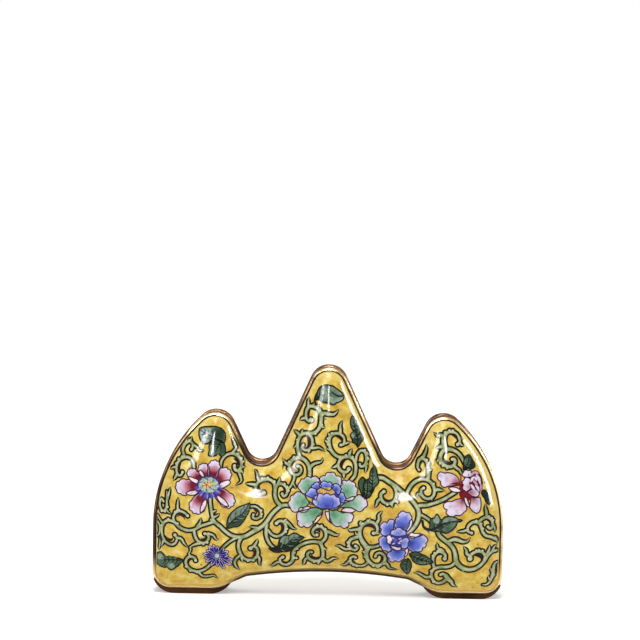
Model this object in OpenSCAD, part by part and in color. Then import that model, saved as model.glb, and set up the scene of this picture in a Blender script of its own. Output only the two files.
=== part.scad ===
// Brush rest in the shape of a mountain with three peaks.
// Hollow copper body: two domed faces and a flat band between them, each face
// coated with fired enamel inside a bare margin and edged with a half-round gilt rim.
// X runs along the rest, Y from the front face to the back face, Z upwards.
// The origin is on the table, under the middle of the body.

/* [Face outline] */
// Width of a face's enamel between its two upright sides
face_w = 146.6; // [144:0.2:150]
// Height of the enamel's lower edge above the table
foot_gap = 3.7; // [3.2:0.1:4.2]
// Height of the corner that the shoulder arc rounds off
shoulder_h = 56.2; // [54:0.2:58]
// Radius of the shoulder arc
shoulder_r = 61; // [58:1:64]
// Distance of each side peak from the middle of the rest
side_peak_x = 46.7; // [46:0.1:48]
// Height of the corner that a side peak rounds off
side_peak_h = 81.3; // [80:0.1:83]
// Radius of a side peak's tip
side_peak_r = 6.9; // [6:0.1:8]
// Distance of each valley from the middle of the rest
valley_x = 28.6; // [28:0.1:29.4]
// Height of the corner that a valley rounds off
valley_h = 43.7; // [43:0.1:45]
// Radius of the cradle at the bottom of a valley
valley_r = 8.4; // [7.6:0.1:9]
// Height of the corner that the middle peak rounds off
middle_peak_h = 106.3; // [104:0.1:109]
// Radius of the middle peak's tip
middle_peak_r = 6.7; // [6:0.1:8]
// Sideways lean of the middle peak
middle_peak_lean = -0.9; // [-2:0.1:2]

/* [Feet and arch] */
// Radius of the outer corner of a foot
foot_corner_r = 6; // [5:0.5:7]
// Distance from the middle of the rest to the inner end of a foot
foot_inner_x = 47; // [46:0.5:48]
// Radius where a foot's lower edge turns up into the arch
foot_inner_r = 14; // [10:1:18]
// Distance from the middle of the rest to the shoulder of the arch
arch_side_x = 35; // [34:0.5:36]
// Height of the shoulder of the arch
arch_side_h = 9.3; // [9:0.1:10]
// Radius of the shoulder of the arch
arch_side_r = 8; // [5:1:12]
// Height of the corner that the crown of the arch rounds off
arch_crown_h = 13.8; // [13.4:0.1:14.2]
// Radius of the crown of the arch
arch_crown_r = 230; // [200:5:240]

/* [Body] */
// Distance between the edges of the two faces
body_t = 12; // [10:0.5:20]
// Height that each face swells out beyond its edge
bulge = 8; // [5:0.5:10]
// Distance from the edge over which a face swells
bulge_run = 24; // [20:1:30]
// Fullness of the swell: larger is steeper at the edge
bulge_power = 3.2; // [2:0.2:4]
// Thickness of the copper faces
shell_t = 0.8; // [0.6:0.1:1.2]
// Thickness of the copper band
band_t = 0.9; // [0.6:0.1:1.2]
// Thickness of the fired enamel
enamel_t = 0.5; // [0.3:0.1:0.8]
// Width of the bare copper margin between enamel and rim
margin = 0.7; // [0.3:0.1:0.8]
// Radius of the half-round rims
rim_r = 0.9; // [0.6:0.1:1]
// Diameter of the vent hole in the crown of the arch
vent_d = 2.4; // [1.5:0.1:3]

/* [Soles] */
// Distance from the middle of the rest to the inner end of a sole's flat underside
sole_flat_x = 50.5; // [49:0.5:53]
// Radius of a sole's inner end, which turns up towards the arch
sole_inner_r = 11.5; // [11:0.5:12]
// Angle through which a sole's inner end turns up
sole_inner_turn = 55; // [54:1:60]
// Radius of a sole's outer end, which turns up round the corner of the foot
sole_outer_r = 9.5; // [9:0.5:10]
// Height at which a sole's outer end stops
sole_end_h = 6; // [4:0.5:7]
// Width of a sole from front to back
sole_w = 14.4; // [12:0.2:15]

/* [Mesh] */
// Steps along each rounded peak and valley
arc_steps = 8; // [6:1:10]
// Steps from the lower to the upper edge of a face
face_rows = 10; // [8:1:14]
// Steps round a half-round rim
rim_steps = 4; // [4:1:8]

/* [Hidden] */

copper = "#8a4b26";
gilt = "#c79a5b";
enamel_yellow = "#e3b93f";

half_w = face_w / 2;
// Smallest squared distance to an edge's line, so that no division is by zero
least_square = 1e-9;
// Steps along each arc of the lower edge, which is only read from
fine_steps = 24;
// Length of one step along a straight flank
flank_step = 9;
// The rims' centre lies this far inside the plane of a face's edge
rim_inset = 0.1;
// Gap between a sole's pad and the rims
pad_gap = 0.1;
// Distance from the end of a sole's flat underside to its pad
pad_inset = 2.5;
// The outer end of a sole stands this far out beyond the rims
sole_reach = 0.1;

// Unit vector of v
function unit(v) = v / norm(v);

// Difference of two angles, between -180 and 180 degrees
function turn(from, to) = let (d = to - from) d > 180 ? d - 360 : d < -180 ? d + 360 : d;

// Points of the arc of radius r that rounds the corner b between a and c
function corner_arc(a, b, c, r, steps) =
    let (u = unit(a - b), v = unit(c - b),
         half = acos(u * v) / 2,
         centre = b + unit(u + v) * r / sin(half),
         p = b + u * r / tan(half) - centre,
         q = b + v * r / tan(half) - centre,
         start = atan2(p.y, p.x),
         sweep = turn(start, atan2(q.y, q.x)))
    [for (k = [0:steps]) let (angle = start + sweep * k / steps)
        centre + r * [cos(angle), sin(angle)]];

// Points between p and q, without both ends, about flank_step apart
function between(p, q) =
    let (steps = max(1, round(norm(q - p) / flank_step)))
    [for (k = [1:1:steps - 1]) p + (q - p) * k / steps];

// Rounded line along corners [[x, z, radius], ...]; its two ends only give directions
function rounded_line(corners, steps) =
    let (arcs = [for (i = [1:len(corners) - 2]) corner_arc(
            [corners[i - 1].x, corners[i - 1].y], [corners[i].x, corners[i].y],
            [corners[i + 1].x, corners[i + 1].y], corners[i].z, steps)])
    [for (i = [0:len(arcs) - 1]) each concat(
        arcs[i], i < len(arcs) - 1 ? between(arcs[i][steps], arcs[i + 1][0]) : [])];

// Corners of a line's right half, put before their mirror images
function both_sides(right, middle) = concat(
    [for (i = [len(right) - 1:-1:0]) [-right[i].x, right[i].y, right[i].z]], middle, right);

upper_edge = rounded_line(both_sides(
    [[valley_x, valley_h, valley_r], [side_peak_x, side_peak_h, side_peak_r],
     [half_w, shoulder_h, shoulder_r], [half_w, foot_gap, 0]],
    [[middle_peak_lean, middle_peak_h, middle_peak_r]]), arc_steps);
lower_edge = rounded_line(both_sides(
    [[arch_side_x, arch_side_h, arch_side_r], [foot_inner_x, foot_gap, foot_inner_r],
     [half_w, foot_gap, foot_corner_r], [half_w, shoulder_h, 0]],
    [[0, arch_crown_h, arch_crown_r]]), fine_steps);

// Each face is a grid of columns at the points of the upper edge, closer rows near both edges
columns = len(upper_edge);
rows = face_rows + 1;
function row_place(j) = (1 - cos(180 * j / face_rows)) / 2;
grid = [for (p = upper_edge) let (low = lookup(p.x, lower_edge))
    for (j = [0:face_rows]) [p.x, low + (p.y - low) * row_place(j)]];

// Numbers in the grid of the points along the arch and feet, and over the peaks
arch_run = [for (i = [0:columns - 1]) i * rows];
peak_run = concat([for (j = [0:face_rows]) (columns - 1) * rows + j],
                  [for (i = [columns - 2:-1:0]) i * rows + face_rows],
                  [for (j = [face_rows - 1:-1:0]) j]);
rim_run = concat(arch_run, [for (k = [1:len(peak_run) - 2]) peak_run[k]]);
edge = [for (n = rim_run) grid[n]];
edge_count = len(edge);

// Outward step at point k of the edge that moves both its lines out by 1 mm
function outward(k) =
    let (p = edge[(k + edge_count - 1) % edge_count], q = edge[k], r = edge[(k + 1) % edge_count],
         a = unit(q - p), b = unit(r - q), m = unit([a.y, -a.x] + [b.y, -b.x]))
    m / (m * [a.y, -a.x]);
edge_out = [for (k = [0:edge_count - 1]) outward(k)];

// Part of the smooth distance that one straight piece of the edge gives at q
function pull(q, a, b) =
    let (u = unit(b - a), w = q - a, t = w * u, far = norm(b - a) - t,
         h2 = max(w * w - t * t, 0) + least_square)
    (far / sqrt(far * far + h2) + t / sqrt(t * t + h2)) / h2;

// Smooth distance from q to the edge: true beside a straight edge, less in a narrow peak
function edge_distance(q) =
    let (pulls = [for (k = [0:edge_count - 1]) pull(q, edge[k], edge[(k + 1) % edge_count])])
    sqrt(2 / (pulls * [for (p = pulls) 1]));

// Swell of a face at distance d from its edge
function swell(d) = bulge * (1 - pow(1 - min(1, d / bulge_run), bulge_power));

function on_edge(n) =
    let (i = floor(n / rows), j = n % rows) i == 0 || i == columns - 1 || j == 0 || j == face_rows;
heights = [for (n = [0:len(grid) - 1]) on_edge(n) ? 0 : swell(edge_distance(grid[n]))];

// Two triangles over one cell of the grid, split the mirrored way left of the middle
function cell(i, j) =
    let (a = i * rows + j, b = a + rows, c = b + 1, d = a + 1)
    i < (columns - 1) / 2 ? [[a, b, c], [a, c, d]] : [[a, b, d], [b, c, d]];

// The same triangle seen from its other side, with its numbers moved on by base
function flipped(f, base) = [f[2] + base, f[1] + base, f[0] + base];

// Strip of triangles between two closed rows of numbered points
function strip(p, q) = [for (k = [0:len(p) - 1]) let (n = (k + 1) % len(p))
    each [[p[k], p[n], q[n]], [p[k], q[n], q[k]]]];

// Numbers of the edge's points, with from the first of them
function edge_numbers(from) = [for (k = [0:edge_count - 1]) from + k];

// Skin that follows the front face from inner to outer mm beyond it, with a flat flange round it
module face_skin(inner, outer, flange = 0) {
    plane = body_t / 2;
    count = len(grid);
    cells = [for (i = [0:columns - 2], j = [0:face_rows - 1]) each cell(i, j)];
    swollen = [for (level = [inner, outer], n = [0:count - 1])
        [grid[n].x, -plane - heights[n] - level, grid[n].y]];
    flat = [for (level = [inner, outer], k = [0:edge_count - 1])
        [edge[k].x + flange * edge_out[k].x, -plane - level, edge[k].y + flange * edge_out[k].y]];
    inner_edge = rim_run;
    outer_edge = [for (n = rim_run) n + count];
    inner_flange = edge_numbers(2 * count);
    outer_flange = edge_numbers(2 * count + edge_count);
    faces = concat(cells, [for (f = cells) flipped(f, count)]);
    if (flange == 0)
        polyhedron(swollen, concat(faces, strip(outer_edge, inner_edge)));
    else
        polyhedron(concat(swollen, flat), concat(faces, strip(outer_edge, outer_flange),
            strip(outer_flange, inner_flange), strip(inner_flange, inner_edge)));
}

// Copper strip between the faces, along the numbered points of the edge
module band(run) {
    outline = concat([for (k = run) edge[k] + margin * edge_out[k]],
                     [for (k = [len(run) - 1:-1:0])
                         edge[run[k]] + (margin - band_t) * edge_out[run[k]]]);
    slab(outline, body_t - 2 * shell_t);
}

// Half-round wire along the edge of the front face, flat side against the band
module rim() {
    centre_y = rim_inset - body_t / 2;
    function ring_point(k, s) = let (angle = 180 * s / rim_steps - 90,
            away = margin + (s == 0 || s == rim_steps ? 0 : rim_r * cos(angle)))
        [edge[k].x + away * edge_out[k].x, centre_y + rim_r * sin(angle), edge[k].y + away * edge_out[k].y];
    points = [for (s = [0:rim_steps], k = [0:edge_count - 1]) ring_point(k, s)];
    polyhedron(points, [for (s = [0:rim_steps])
        each strip(edge_numbers(s * edge_count), edge_numbers((s + 1) % (rim_steps + 1) * edge_count))]);
}

// Points of an arc of radius r round a centre, from one angle to another
function arc(centre, r, from, to) = [for (k = [0:arc_steps]) let (angle = from + (to - from) * k / arc_steps)
    centre + r * [cos(angle), sin(angle)]];

// Solid of a flat shape in X and Z, centred between the faces
module slab(outline, width) {
    rotate([90, 0, 0]) linear_extrude(height = width, center = true) polygon(outline);
}

// Copper sole under the right foot: its underside turns up at both ends and meets the rims there,
// and a pad on it fills the space between the rims
module sole() {
    outer_x = half_w + margin + rim_r + sole_reach - sole_outer_r;
    underside = concat(
        arc([outer_x, sole_outer_r], sole_outer_r, -asin((sole_outer_r - sole_end_h) / sole_outer_r), -90),
        arc([sole_flat_x, sole_inner_r], sole_inner_r, -90, -90 - sole_inner_turn));
    pad_left = sole_flat_x + pad_inset;
    pad_w = body_t - 2 * (rim_r + rim_inset + pad_gap);
    difference() {
        slab(underside, sole_w);
        slab([for (k = [0:edge_count - 1]) edge[k] + (margin + rim_r) * edge_out[k]], 2 * sole_w);
    }
    translate([pad_left, -pad_w / 2, 0])
        cube([half_w - foot_corner_r - pad_left, pad_w, foot_gap - margin]);
}

module front_shell() {
    color(copper) face_skin(-shell_t, 0, margin);
}

module back_shell() {
    color(copper) mirror([0, 1, 0]) face_skin(-shell_t, 0, margin);
}

module front_enamel() {
    color(enamel_yellow) face_skin(0, enamel_t);
}

module back_enamel() {
    color(enamel_yellow) mirror([0, 1, 0]) face_skin(0, enamel_t);
}

module upper_band() {
    color(copper) band(concat([for (k = [columns - 1:edge_count - 1]) k], [0]));
}

module arch_band() {
    color(copper) difference() {
        band([for (k = [0:columns - 1]) k]);
        cylinder(d = vent_d, h = shoulder_h, $fn = 32);
    }
}

module front_rim() {
    color(gilt) rim();
}

module back_rim() {
    color(gilt) mirror([0, 1, 0]) rim();
}

module left_sole() {
    color(copper) mirror([1, 0, 0]) sole();
}

module right_sole() {
    color(copper) sole();
}

front_shell();
back_shell();
front_enamel();
back_enamel();
upper_band();
arch_band();
front_rim();
back_rim();
left_sole();
right_sole();
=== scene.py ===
"""Looks of the brush rest: painted enamel faces, gilt rims, copper bands, and the studio round them.

Shapes are worked out in millimetres, as x along the rest and z upwards on a face, and become
metres when a mesh is made. The front face looks towards -Y, and the back face is its mirror image.
"""
import math

import bmesh
import bpy
import numpy as np
from mathutils import Matrix, Vector


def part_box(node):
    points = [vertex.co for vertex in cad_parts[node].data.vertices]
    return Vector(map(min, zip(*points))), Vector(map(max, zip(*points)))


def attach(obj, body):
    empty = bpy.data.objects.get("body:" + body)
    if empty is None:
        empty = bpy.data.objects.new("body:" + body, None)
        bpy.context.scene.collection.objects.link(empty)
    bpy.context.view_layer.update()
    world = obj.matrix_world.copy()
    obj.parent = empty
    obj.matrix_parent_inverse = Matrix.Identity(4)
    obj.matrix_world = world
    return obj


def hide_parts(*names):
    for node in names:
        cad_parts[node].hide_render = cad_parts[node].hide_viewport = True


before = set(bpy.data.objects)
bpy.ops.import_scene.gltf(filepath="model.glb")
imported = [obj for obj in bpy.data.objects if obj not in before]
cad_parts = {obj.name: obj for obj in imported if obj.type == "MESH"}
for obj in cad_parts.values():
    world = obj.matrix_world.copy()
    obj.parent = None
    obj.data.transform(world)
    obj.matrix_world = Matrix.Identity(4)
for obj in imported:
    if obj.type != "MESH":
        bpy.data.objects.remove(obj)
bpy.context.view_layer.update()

MM = 0.001
TINY = 1e-9
SAME_PLACE = 1e-6

# Face outline, as in the part: corners are x, z and the radius that rounds them
enamel_low, enamel_high = (np.array(corner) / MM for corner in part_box("front_enamel"))
HALF_W = float(enamel_high[0])
FOOT_GAP = float(enamel_low[2])
SHOULDER_CORNER = (HALF_W, 56.2, 61)
SIDE_PEAK_CORNER = (46.7, 81.3, 6.9)
VALLEY_CORNER = (28.6, 43.7, 8.4)
MIDDLE_PEAK_CORNER = (-0.9, 106.3, 6.7)
FOOT_CORNER = (HALF_W, FOOT_GAP, 6)
FOOT_INNER_CORNER = (47, FOOT_GAP, 14)
ARCH_SIDE_CORNER = (35, 9.3, 8)
ARCH_CROWN_CORNER = (0, 13.8, 230)
ARC_STEPS = 16

# Swell of a face, and the thin parts along its edge, as in the part
HALF_BODY = 6.0
BULGE = 8.0
BULGE_RUN = 24.0
BULGE_POWER = 3.2
ENAMEL_T = 0.5
MARGIN = 0.7
RIM_R = 0.9
RIM_INSET = 0.1
BAND_T = 0.9
BAND_HALF_W = 5.2

# Fineness of the meshes
HALF_COLUMNS = 130
ROWS = 110
SIDE_CROWDING = 0.65
EDGE_CROWDING = 0.55
RIM_STEP = 0.6
RIM_ARC_STEPS = 10
BAND_STEP = 0.8
SMOOTH_ANGLE = 50
BEAD_SMOOTH_ANGLE = 60
PLACES_AT_ONCE = 20000

# Brush strokes: widths, steps along and across them, and how they end
LINE_W = 0.74
LEAF_LINE_W = LINE_W * 0.75
POINTED = 0.35
PAINT_STEP = 0.5
PETAL_STEP = 0.4
MARK_STEP = 0.35
EDGE_KEEP = 0.25
ACROSS = (1, 0.5, 0, -0.5, -1)
END_ANGLES = (30, 60, 84)
KNOB_SIDES = 20
DOT_SIDES = 14
DISC_RINGS = 3
BLOT_RINGS = 7
FIRST_RING = 0.06
FRILL_PLACES = (0.42, 0.52, 0.62)
FRILL_REACH = 0.42
FRILL_R = 0.5
VEIN_PLACES = (0.24, 0.4, 0.56, 0.72)

# How far each layer of paint stands over the glaze, and how deep all of them reach into it
CONTOUR_LIFT = 0.035
COAT_LIFT = 0.06
COAT_STEP = 0.01
STEM_STEP = 0.004
STEM_LAYERS = 6
KNOB_LIFT = COAT_LIFT + STEM_STEP * 7
CURL_SHADOW_LIFT = COAT_LIFT + STEM_STEP * 8
LEAF_LIFT = COAT_LIFT + 0.04
LEAF_HALF_LIFT = COAT_LIFT + 0.055
LEAF_LINE_LIFT = COAT_LIFT + 0.07
VEIN_LIFT = COAT_LIFT + 0.076
RIB_LIFT = COAT_LIFT + 0.08
COAT_ROOT = 0.12

# Share of a petal's radius where its pale rim starts, and how much of the rim's colour it takes on
RIM_TINT_FROM = 0.7
RIM_TINT_MOST = 0.7

# Wash on the vines: its strength, how sharply it comes and goes, and how often along x and z
WASH_MOST = 0.75
WASH_SHARPNESS = 1.4
WASH_WAVE_X = 0.8
WASH_WAVE_Z = 0.45
WASH_SWAY = 2

# Paint colours, as sRGB values from 0 to 255
LINE_DARK = (10, 14, 6)
VINE_GREEN = (194, 196, 158)
VINE_RICH = (126, 146, 88)
VINE_DEEP = (118, 128, 72)
CURL_SHADOW = (40, 12, 8)
LEAF_DARK = (20, 36, 24)
LEAF_MID = (56, 82, 57)
LEAF_PALE = (142, 160, 143)
LEAF_GLEAM = (94, 124, 95)
CALYX_GREEN = (30, 60, 44)
SEPAL_BROWN = (150, 64, 34)
MAROON = (66, 18, 38)
DEEP_MAROON = (88, 20, 40)
PETAL_WHITE = (222, 210, 232)
PETAL_PINK = (202, 128, 152)
PETAL_RED = (116, 16, 34)
PETAL_GREEN = (88, 150, 104)
PETAL_MINT = (140, 184, 158)
PETAL_BLUE = (100, 122, 214)
PETAL_NAVY = (46, 50, 152)
BLUE_LINE = (50, 34, 80)
NAVY_LINE = (30, 26, 92)
BLUE_DEEP = (52, 46, 130)
BLUE_HEART = (96, 92, 190)
FOLD_PINK = (236, 218, 226)
FOLD_PEACH = (240, 206, 172)
OCHRE = (214, 172, 84)
SEED_BROWN = (136, 92, 44)
STAMEN_NAVY = (50, 44, 122)
STAMEN_VIOLET = (84, 76, 176)
STAMEN_PALE = (140, 140, 214)
STAMEN_SHADES = (STAMEN_NAVY, STAMEN_VIOLET, STAMEN_NAVY, STAMEN_VIOLET, STAMEN_PALE)
CORE_GREEN = (136, 158, 148)
CORE_MOTTLE = ((176, 194, 178), (96, 124, 116), (198, 208, 186), (132, 152, 172))
HEART_MOTTLE = (OCHRE, (204, 96, 44), (232, 204, 150), (132, 84, 50))
STAR_VIOLET = (40, 30, 124)
STAR_RIM = (214, 204, 238)
STAR_LINE = (40, 18, 60)
STAR_DISC = (96, 100, 150)
STAR_HEART = (186, 196, 198)

# Where the gilding's painted highlight and painted shade, and the groove's ochre glass, change. Each pair is
# where a change starts and ends, in metres from the middle of the rest along X or Y, or from the table.
BETWEEN_FEET_X = (0.046, 0.038)
ARCH_TOP_Z = (0.018, 0.015)
FEET_TOP_Z = (0.0175, 0.0055)
PEAKS_Z = (0.064, 0.073)
RIGHT_SIDE_X = (0.052, 0.06)
RIM_CROWN_Y = (0.0059, 0.0064)
NO_HIGHLIGHT_FLANK_X = -0.0145
NO_HIGHLIGHT_FLANK_REACH = (0.0065, 0.009)

# Studio
AMBIENT = 0.46
FLOOR_GLOW = 0.34
FLOOR_PLAIN_R = 0.3
FLOOR_R = 0.95
FLOOR_EDGE_R = FLOOR_R * 1.02
FLOOR_SIDES = 96
AIM = Vector((0, 0, 0.045))


def linear(colour):
    """Turns an sRGB colour of 0 to 255 into the linear values that Blender works with."""
    parts = []
    for value in colour:
        part = value / 255
        parts.append(part / 12.92 if part <= 0.04045 else ((part + 0.055) / 1.055) ** 2.4)
    return np.array(parts)


def mixed(a, b, share):
    """Colour between a and b, as sRGB values."""
    return tuple(p + (q - p) * share for p, q in zip(a, b))


# Outline and swell of a face

def corner_arc(before, corner, after, steps):
    """Points of the arc that rounds a corner between its two neighbours."""
    b = np.array(corner[:2], float)
    u = np.array(before[:2]) - b
    v = np.array(after[:2]) - b
    u /= np.linalg.norm(u)
    v /= np.linalg.norm(v)
    half = math.acos(u @ v) / 2
    middle = (u + v) / np.linalg.norm(u + v)
    centre = b + middle * corner[2] / math.sin(half)
    first = b + u * corner[2] / math.tan(half) - centre
    last = b + v * corner[2] / math.tan(half) - centre
    start = math.atan2(first[1], first[0])
    sweep = (math.atan2(last[1], last[0]) - start + math.pi) % (2 * math.pi) - math.pi
    angles = start + sweep * np.arange(steps + 1) / steps
    return centre + corner[2] * np.stack([np.cos(angles), np.sin(angles)], 1)


def rounded_line(right_half, middle):
    """Rounded line through the mirror images of some corners, a middle corner and the corners."""
    corners = [(-x, z, r) for x, z, r in reversed(right_half)] + [middle] + right_half
    arcs = [corner_arc(*corners[i - 1:i + 2], ARC_STEPS) for i in range(1, len(corners) - 1)]
    return np.concatenate(arcs)


UPPER_EDGE = rounded_line([VALLEY_CORNER, SIDE_PEAK_CORNER, SHOULDER_CORNER, FOOT_CORNER],
                          MIDDLE_PEAK_CORNER)
LOWER_EDGE = rounded_line([ARCH_SIDE_CORNER, FOOT_INNER_CORNER, FOOT_CORNER, SHOULDER_CORNER],
                          ARCH_CROWN_CORNER)
EDGE = np.concatenate([UPPER_EDGE[::-1], LOWER_EDGE])


def edge_distance(points):
    """Smooth distance from points to the edge: true beside a straight edge, less in a narrow peak."""
    start = EDGE
    step = np.roll(EDGE, -1, axis=0) - EDGE
    length = np.hypot(step[:, 0], step[:, 1])
    start, step, length = start[length > TINY], step[length > TINY], length[length > TINY]
    along = step / length[:, None]
    result = np.empty(len(points))
    for first in range(0, len(points), PLACES_AT_ONCE):
        away = points[first:first + PLACES_AT_ONCE, None, :] - start
        near = (away * along).sum(2)
        beside = np.maximum((away * away).sum(2) - near * near, 0) + TINY
        far = length - near
        pull = (far / np.sqrt(far * far + beside) + near / np.sqrt(near * near + beside)) / beside
        result[first:first + PLACES_AT_ONCE] = np.sqrt(2 / np.abs(pull.sum(1)))
    return result


def swell(distance):
    """Height of the dome over the plane of its edge."""
    return BULGE * (1 - (1 - np.minimum(1, distance / BULGE_RUN)) ** BULGE_POWER)


def glaze_depth(points):
    """Distance of the glaze from the plane halfway between the two faces."""
    return HALF_BODY + ENAMEL_T + swell(edge_distance(np.asarray(points, float)))


def height_limits(x):
    """Lower and upper end of the face at each x."""
    low = np.interp(x, LOWER_EDGE[:, 0], LOWER_EDGE[:, 1])
    high = np.interp(x, UPPER_EDGE[:, 0], UPPER_EDGE[:, 1])
    return low, high


def kept_on_face(points):
    """The same points, moved inside the edge where they would pass it."""
    points = np.array(points, float)
    points[:, 0] = np.clip(points[:, 0], EDGE_KEEP - HALF_W, HALF_W - EDGE_KEEP)
    low, high = height_limits(points[:, 0])
    points[:, 1] = np.clip(points[:, 1], low + EDGE_KEEP, high - EDGE_KEEP)
    return points


# Curves

def smooth_path(points, step=PAINT_STEP):
    """Catmull-Rom curve through the points, with places about a step apart."""
    points = [np.array(p, float) for p in points]
    padded = [2 * points[0] - points[1]] + points + [2 * points[-1] - points[-2]]
    path = []
    for a, b, c, d in zip(padded, padded[1:], padded[2:], padded[3:]):
        count = max(2, math.ceil(np.linalg.norm(c - b) / step))
        for t in np.arange(count) / count:
            path.append(0.5 * (2 * b + (c - a) * t + (2 * a - 5 * b + 4 * c - d) * t * t
                               + (3 * b - a - 3 * c + d) * t ** 3))
    path.append(points[-1])
    return np.array(path)


def scalloped(points, bulge, step=PAINT_STEP):
    """Closed outline whose spans between the points are arcs that bulge outwards by a share of
    their length. A third number at a point sets the share of the span that starts there."""
    places = np.array([p[:2] for p in points], float)
    following = np.roll(places, -1, axis=0)
    turned = (places[:, 0] * following[:, 1] - following[:, 0] * places[:, 1]).sum()
    side = 1 if turned < 0 else -1
    path = []
    for point, a, b in zip(points, places, following):
        share = point[2] if len(point) > 2 else bulge
        span = b - a
        normal = np.array([-span[1], span[0]]) * side
        count = max(2, math.ceil(np.linalg.norm(span) / step))
        for t in np.arange(count) / count:
            path.append(a + span * t + normal * 4 * share * t * (1 - t))
    return np.array(path)


def circle(centre, radius, sides, stretch=1.0):
    """Points of a circle, or of an oval where a stretch makes it higher or flatter."""
    angles = np.arange(sides) * math.tau / sides
    return np.array(centre) + radius * np.stack([np.cos(angles), np.sin(angles) * stretch], 1)


def path_sides(path, closed=False):
    """Unit vectors to the left of a path."""
    if closed:
        along = np.roll(path, -1, axis=0) - np.roll(path, 1, axis=0)
    else:
        along = np.gradient(path, axis=0)
    along /= np.maximum(np.linalg.norm(along, axis=1), TINY)[:, None]
    return np.stack([-along[:, 1], along[:, 0]], 1)


def spread(values, path):
    """Values set evenly along a path, read at each of its places."""
    steps = np.hypot(*np.diff(path, axis=0).T)
    run = np.concatenate([[0], np.cumsum(steps)])
    return np.interp(run / run[-1], np.linspace(0, 1, len(values)), values)


def wash_share(place):
    """How much of a wash lies on a place of the design. It comes and goes every few millimetres."""
    x, z = place
    wave = math.sin(x * WASH_WAVE_X + WASH_SWAY * math.sin(z * WASH_WAVE_Z))
    return WASH_MOST * max(0, wave) ** WASH_SHARPNESS


# Painted coats

class Coat:
    """Painted shapes that become one piece: thin closed sheets that follow the glaze."""

    def __init__(self):
        self.points = []
        self.lifts = []
        self.tints = []
        self.faces = []
        self.count = 0

    def sheet(self, rows, tints, lift, round_shape=False):
        """Adds a sheet from rows of points, with one tint a point. The rows of a round shape are rings."""
        row_count, width = len(rows), len(rows[0])
        flat = kept_on_face(np.concatenate(rows))
        size = row_count * width
        top = self.count
        root = top + size
        self.points.append(np.concatenate([flat, flat]))
        self.lifts.append(np.concatenate([np.full(size, lift), np.full(size, -COAT_ROOT)]))
        self.tints.append(np.concatenate([tints, tints]))
        self.count += 2 * size
        last = width if round_shape else width - 1
        for i in range(row_count - 1):
            for j in range(last):
                k = (j + 1) % width
                cell = [i * width + j, i * width + k, (i + 1) * width + k, (i + 1) * width + j]
                self.faces.append([top + n for n in cell])
                self.faces.append([root + n for n in reversed(cell)])
        final = (row_count - 1) * width
        if round_shape:
            self.faces.append([top + j for j in range(width)][::-1])
            self.faces.append([root + j for j in range(width)])
            border = [final + j for j in range(width)]
        else:
            border = ([j for j in range(width)] + [i * width + width - 1 for i in range(1, row_count)]
                      + [final + j for j in range(width - 2, -1, -1)]
                      + [i * width for i in range(row_count - 2, 0, -1)])
        for a, b in zip(border, border[1:] + border[:1]):
            self.faces.append([top + a, root + a, root + b, top + b])

    def ribbon(self, path, widths, colour, lift, closed=False, edge_colour=None, wash=None):
        """Adds a stroke along a path, with round ends. If asked, it has another colour at its edges and a
        wash that comes and goes along it."""
        halves = np.asarray(widths, float) / 2
        side = path_sides(path, closed)
        along = np.stack([side[:, 1], -side[:, 0]], 1)
        rows = [p + np.outer(ACROSS, s * h) for p, s, h in zip(path, side, halves)]
        if closed:
            rows.append(rows[0])
        else:
            rows = self.round_end(path[0], side[0], -along[0], halves[0])[::-1] + rows
            rows += self.round_end(path[-1], side[-1], along[-1], halves[-1])
        core, edge = linear(colour), linear(edge_colour or colour)
        shades = np.array([core + (edge - core) * across * across for across in ACROSS])
        tints = np.tile(shades, (len(rows), 1))
        if wash:
            middle = len(ACROSS) // 2
            share = np.repeat([wash_share(row[middle]) for row in rows], len(ACROSS))[:, None]
            tints = tints * (1 - share) + linear(wash) * share
        self.sheet(rows, tints, lift)

    @staticmethod
    def round_end(place, side, outward, half):
        """Rows that round a stroke off beyond its last place."""
        rows = []
        for angle in END_ANGLES:
            out = outward * half * math.sin(math.radians(angle))
            wide = side * half * math.cos(math.radians(angle))
            rows.append(place + out + np.outer(ACROSS, wide))
        return rows

    def blot(self, outline, heart, stops, lift, rim_tint=None, rings=BLOT_RINGS):
        """Adds a filled outline. Its colour runs through the stops with the distance from the heart."""
        heart = np.array(heart, float)
        shares = np.linspace(FIRST_RING, 1, rings)
        rows = [heart + (outline - heart) * share for share in shares]
        flat = np.concatenate(rows)
        reach = np.linalg.norm(outline - heart, axis=1).max()
        place = np.linalg.norm(flat - heart, axis=1) / reach
        colours = np.array([linear(c) for c in stops])
        spots = np.linspace(0, 1, len(stops))
        tints = np.stack([np.interp(place, spots, colours[:, k]) for k in range(3)], 1)
        if rim_tint is not None:
            near_rim = np.clip((shares - RIM_TINT_FROM) / (1 - RIM_TINT_FROM), 0, 1) * RIM_TINT_MOST
            near_rim = np.repeat(near_rim, len(outline))[:, None]
            tints = tints * (1 - near_rim) + linear(rim_tint) * near_rim
        self.sheet(rows, tints, lift, round_shape=True)

    def disc(self, outline, centre, colour, lift):
        """Adds a small filled outline in one colour."""
        self.blot(outline, centre, [colour, colour], lift, rings=DISC_RINGS)


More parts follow.
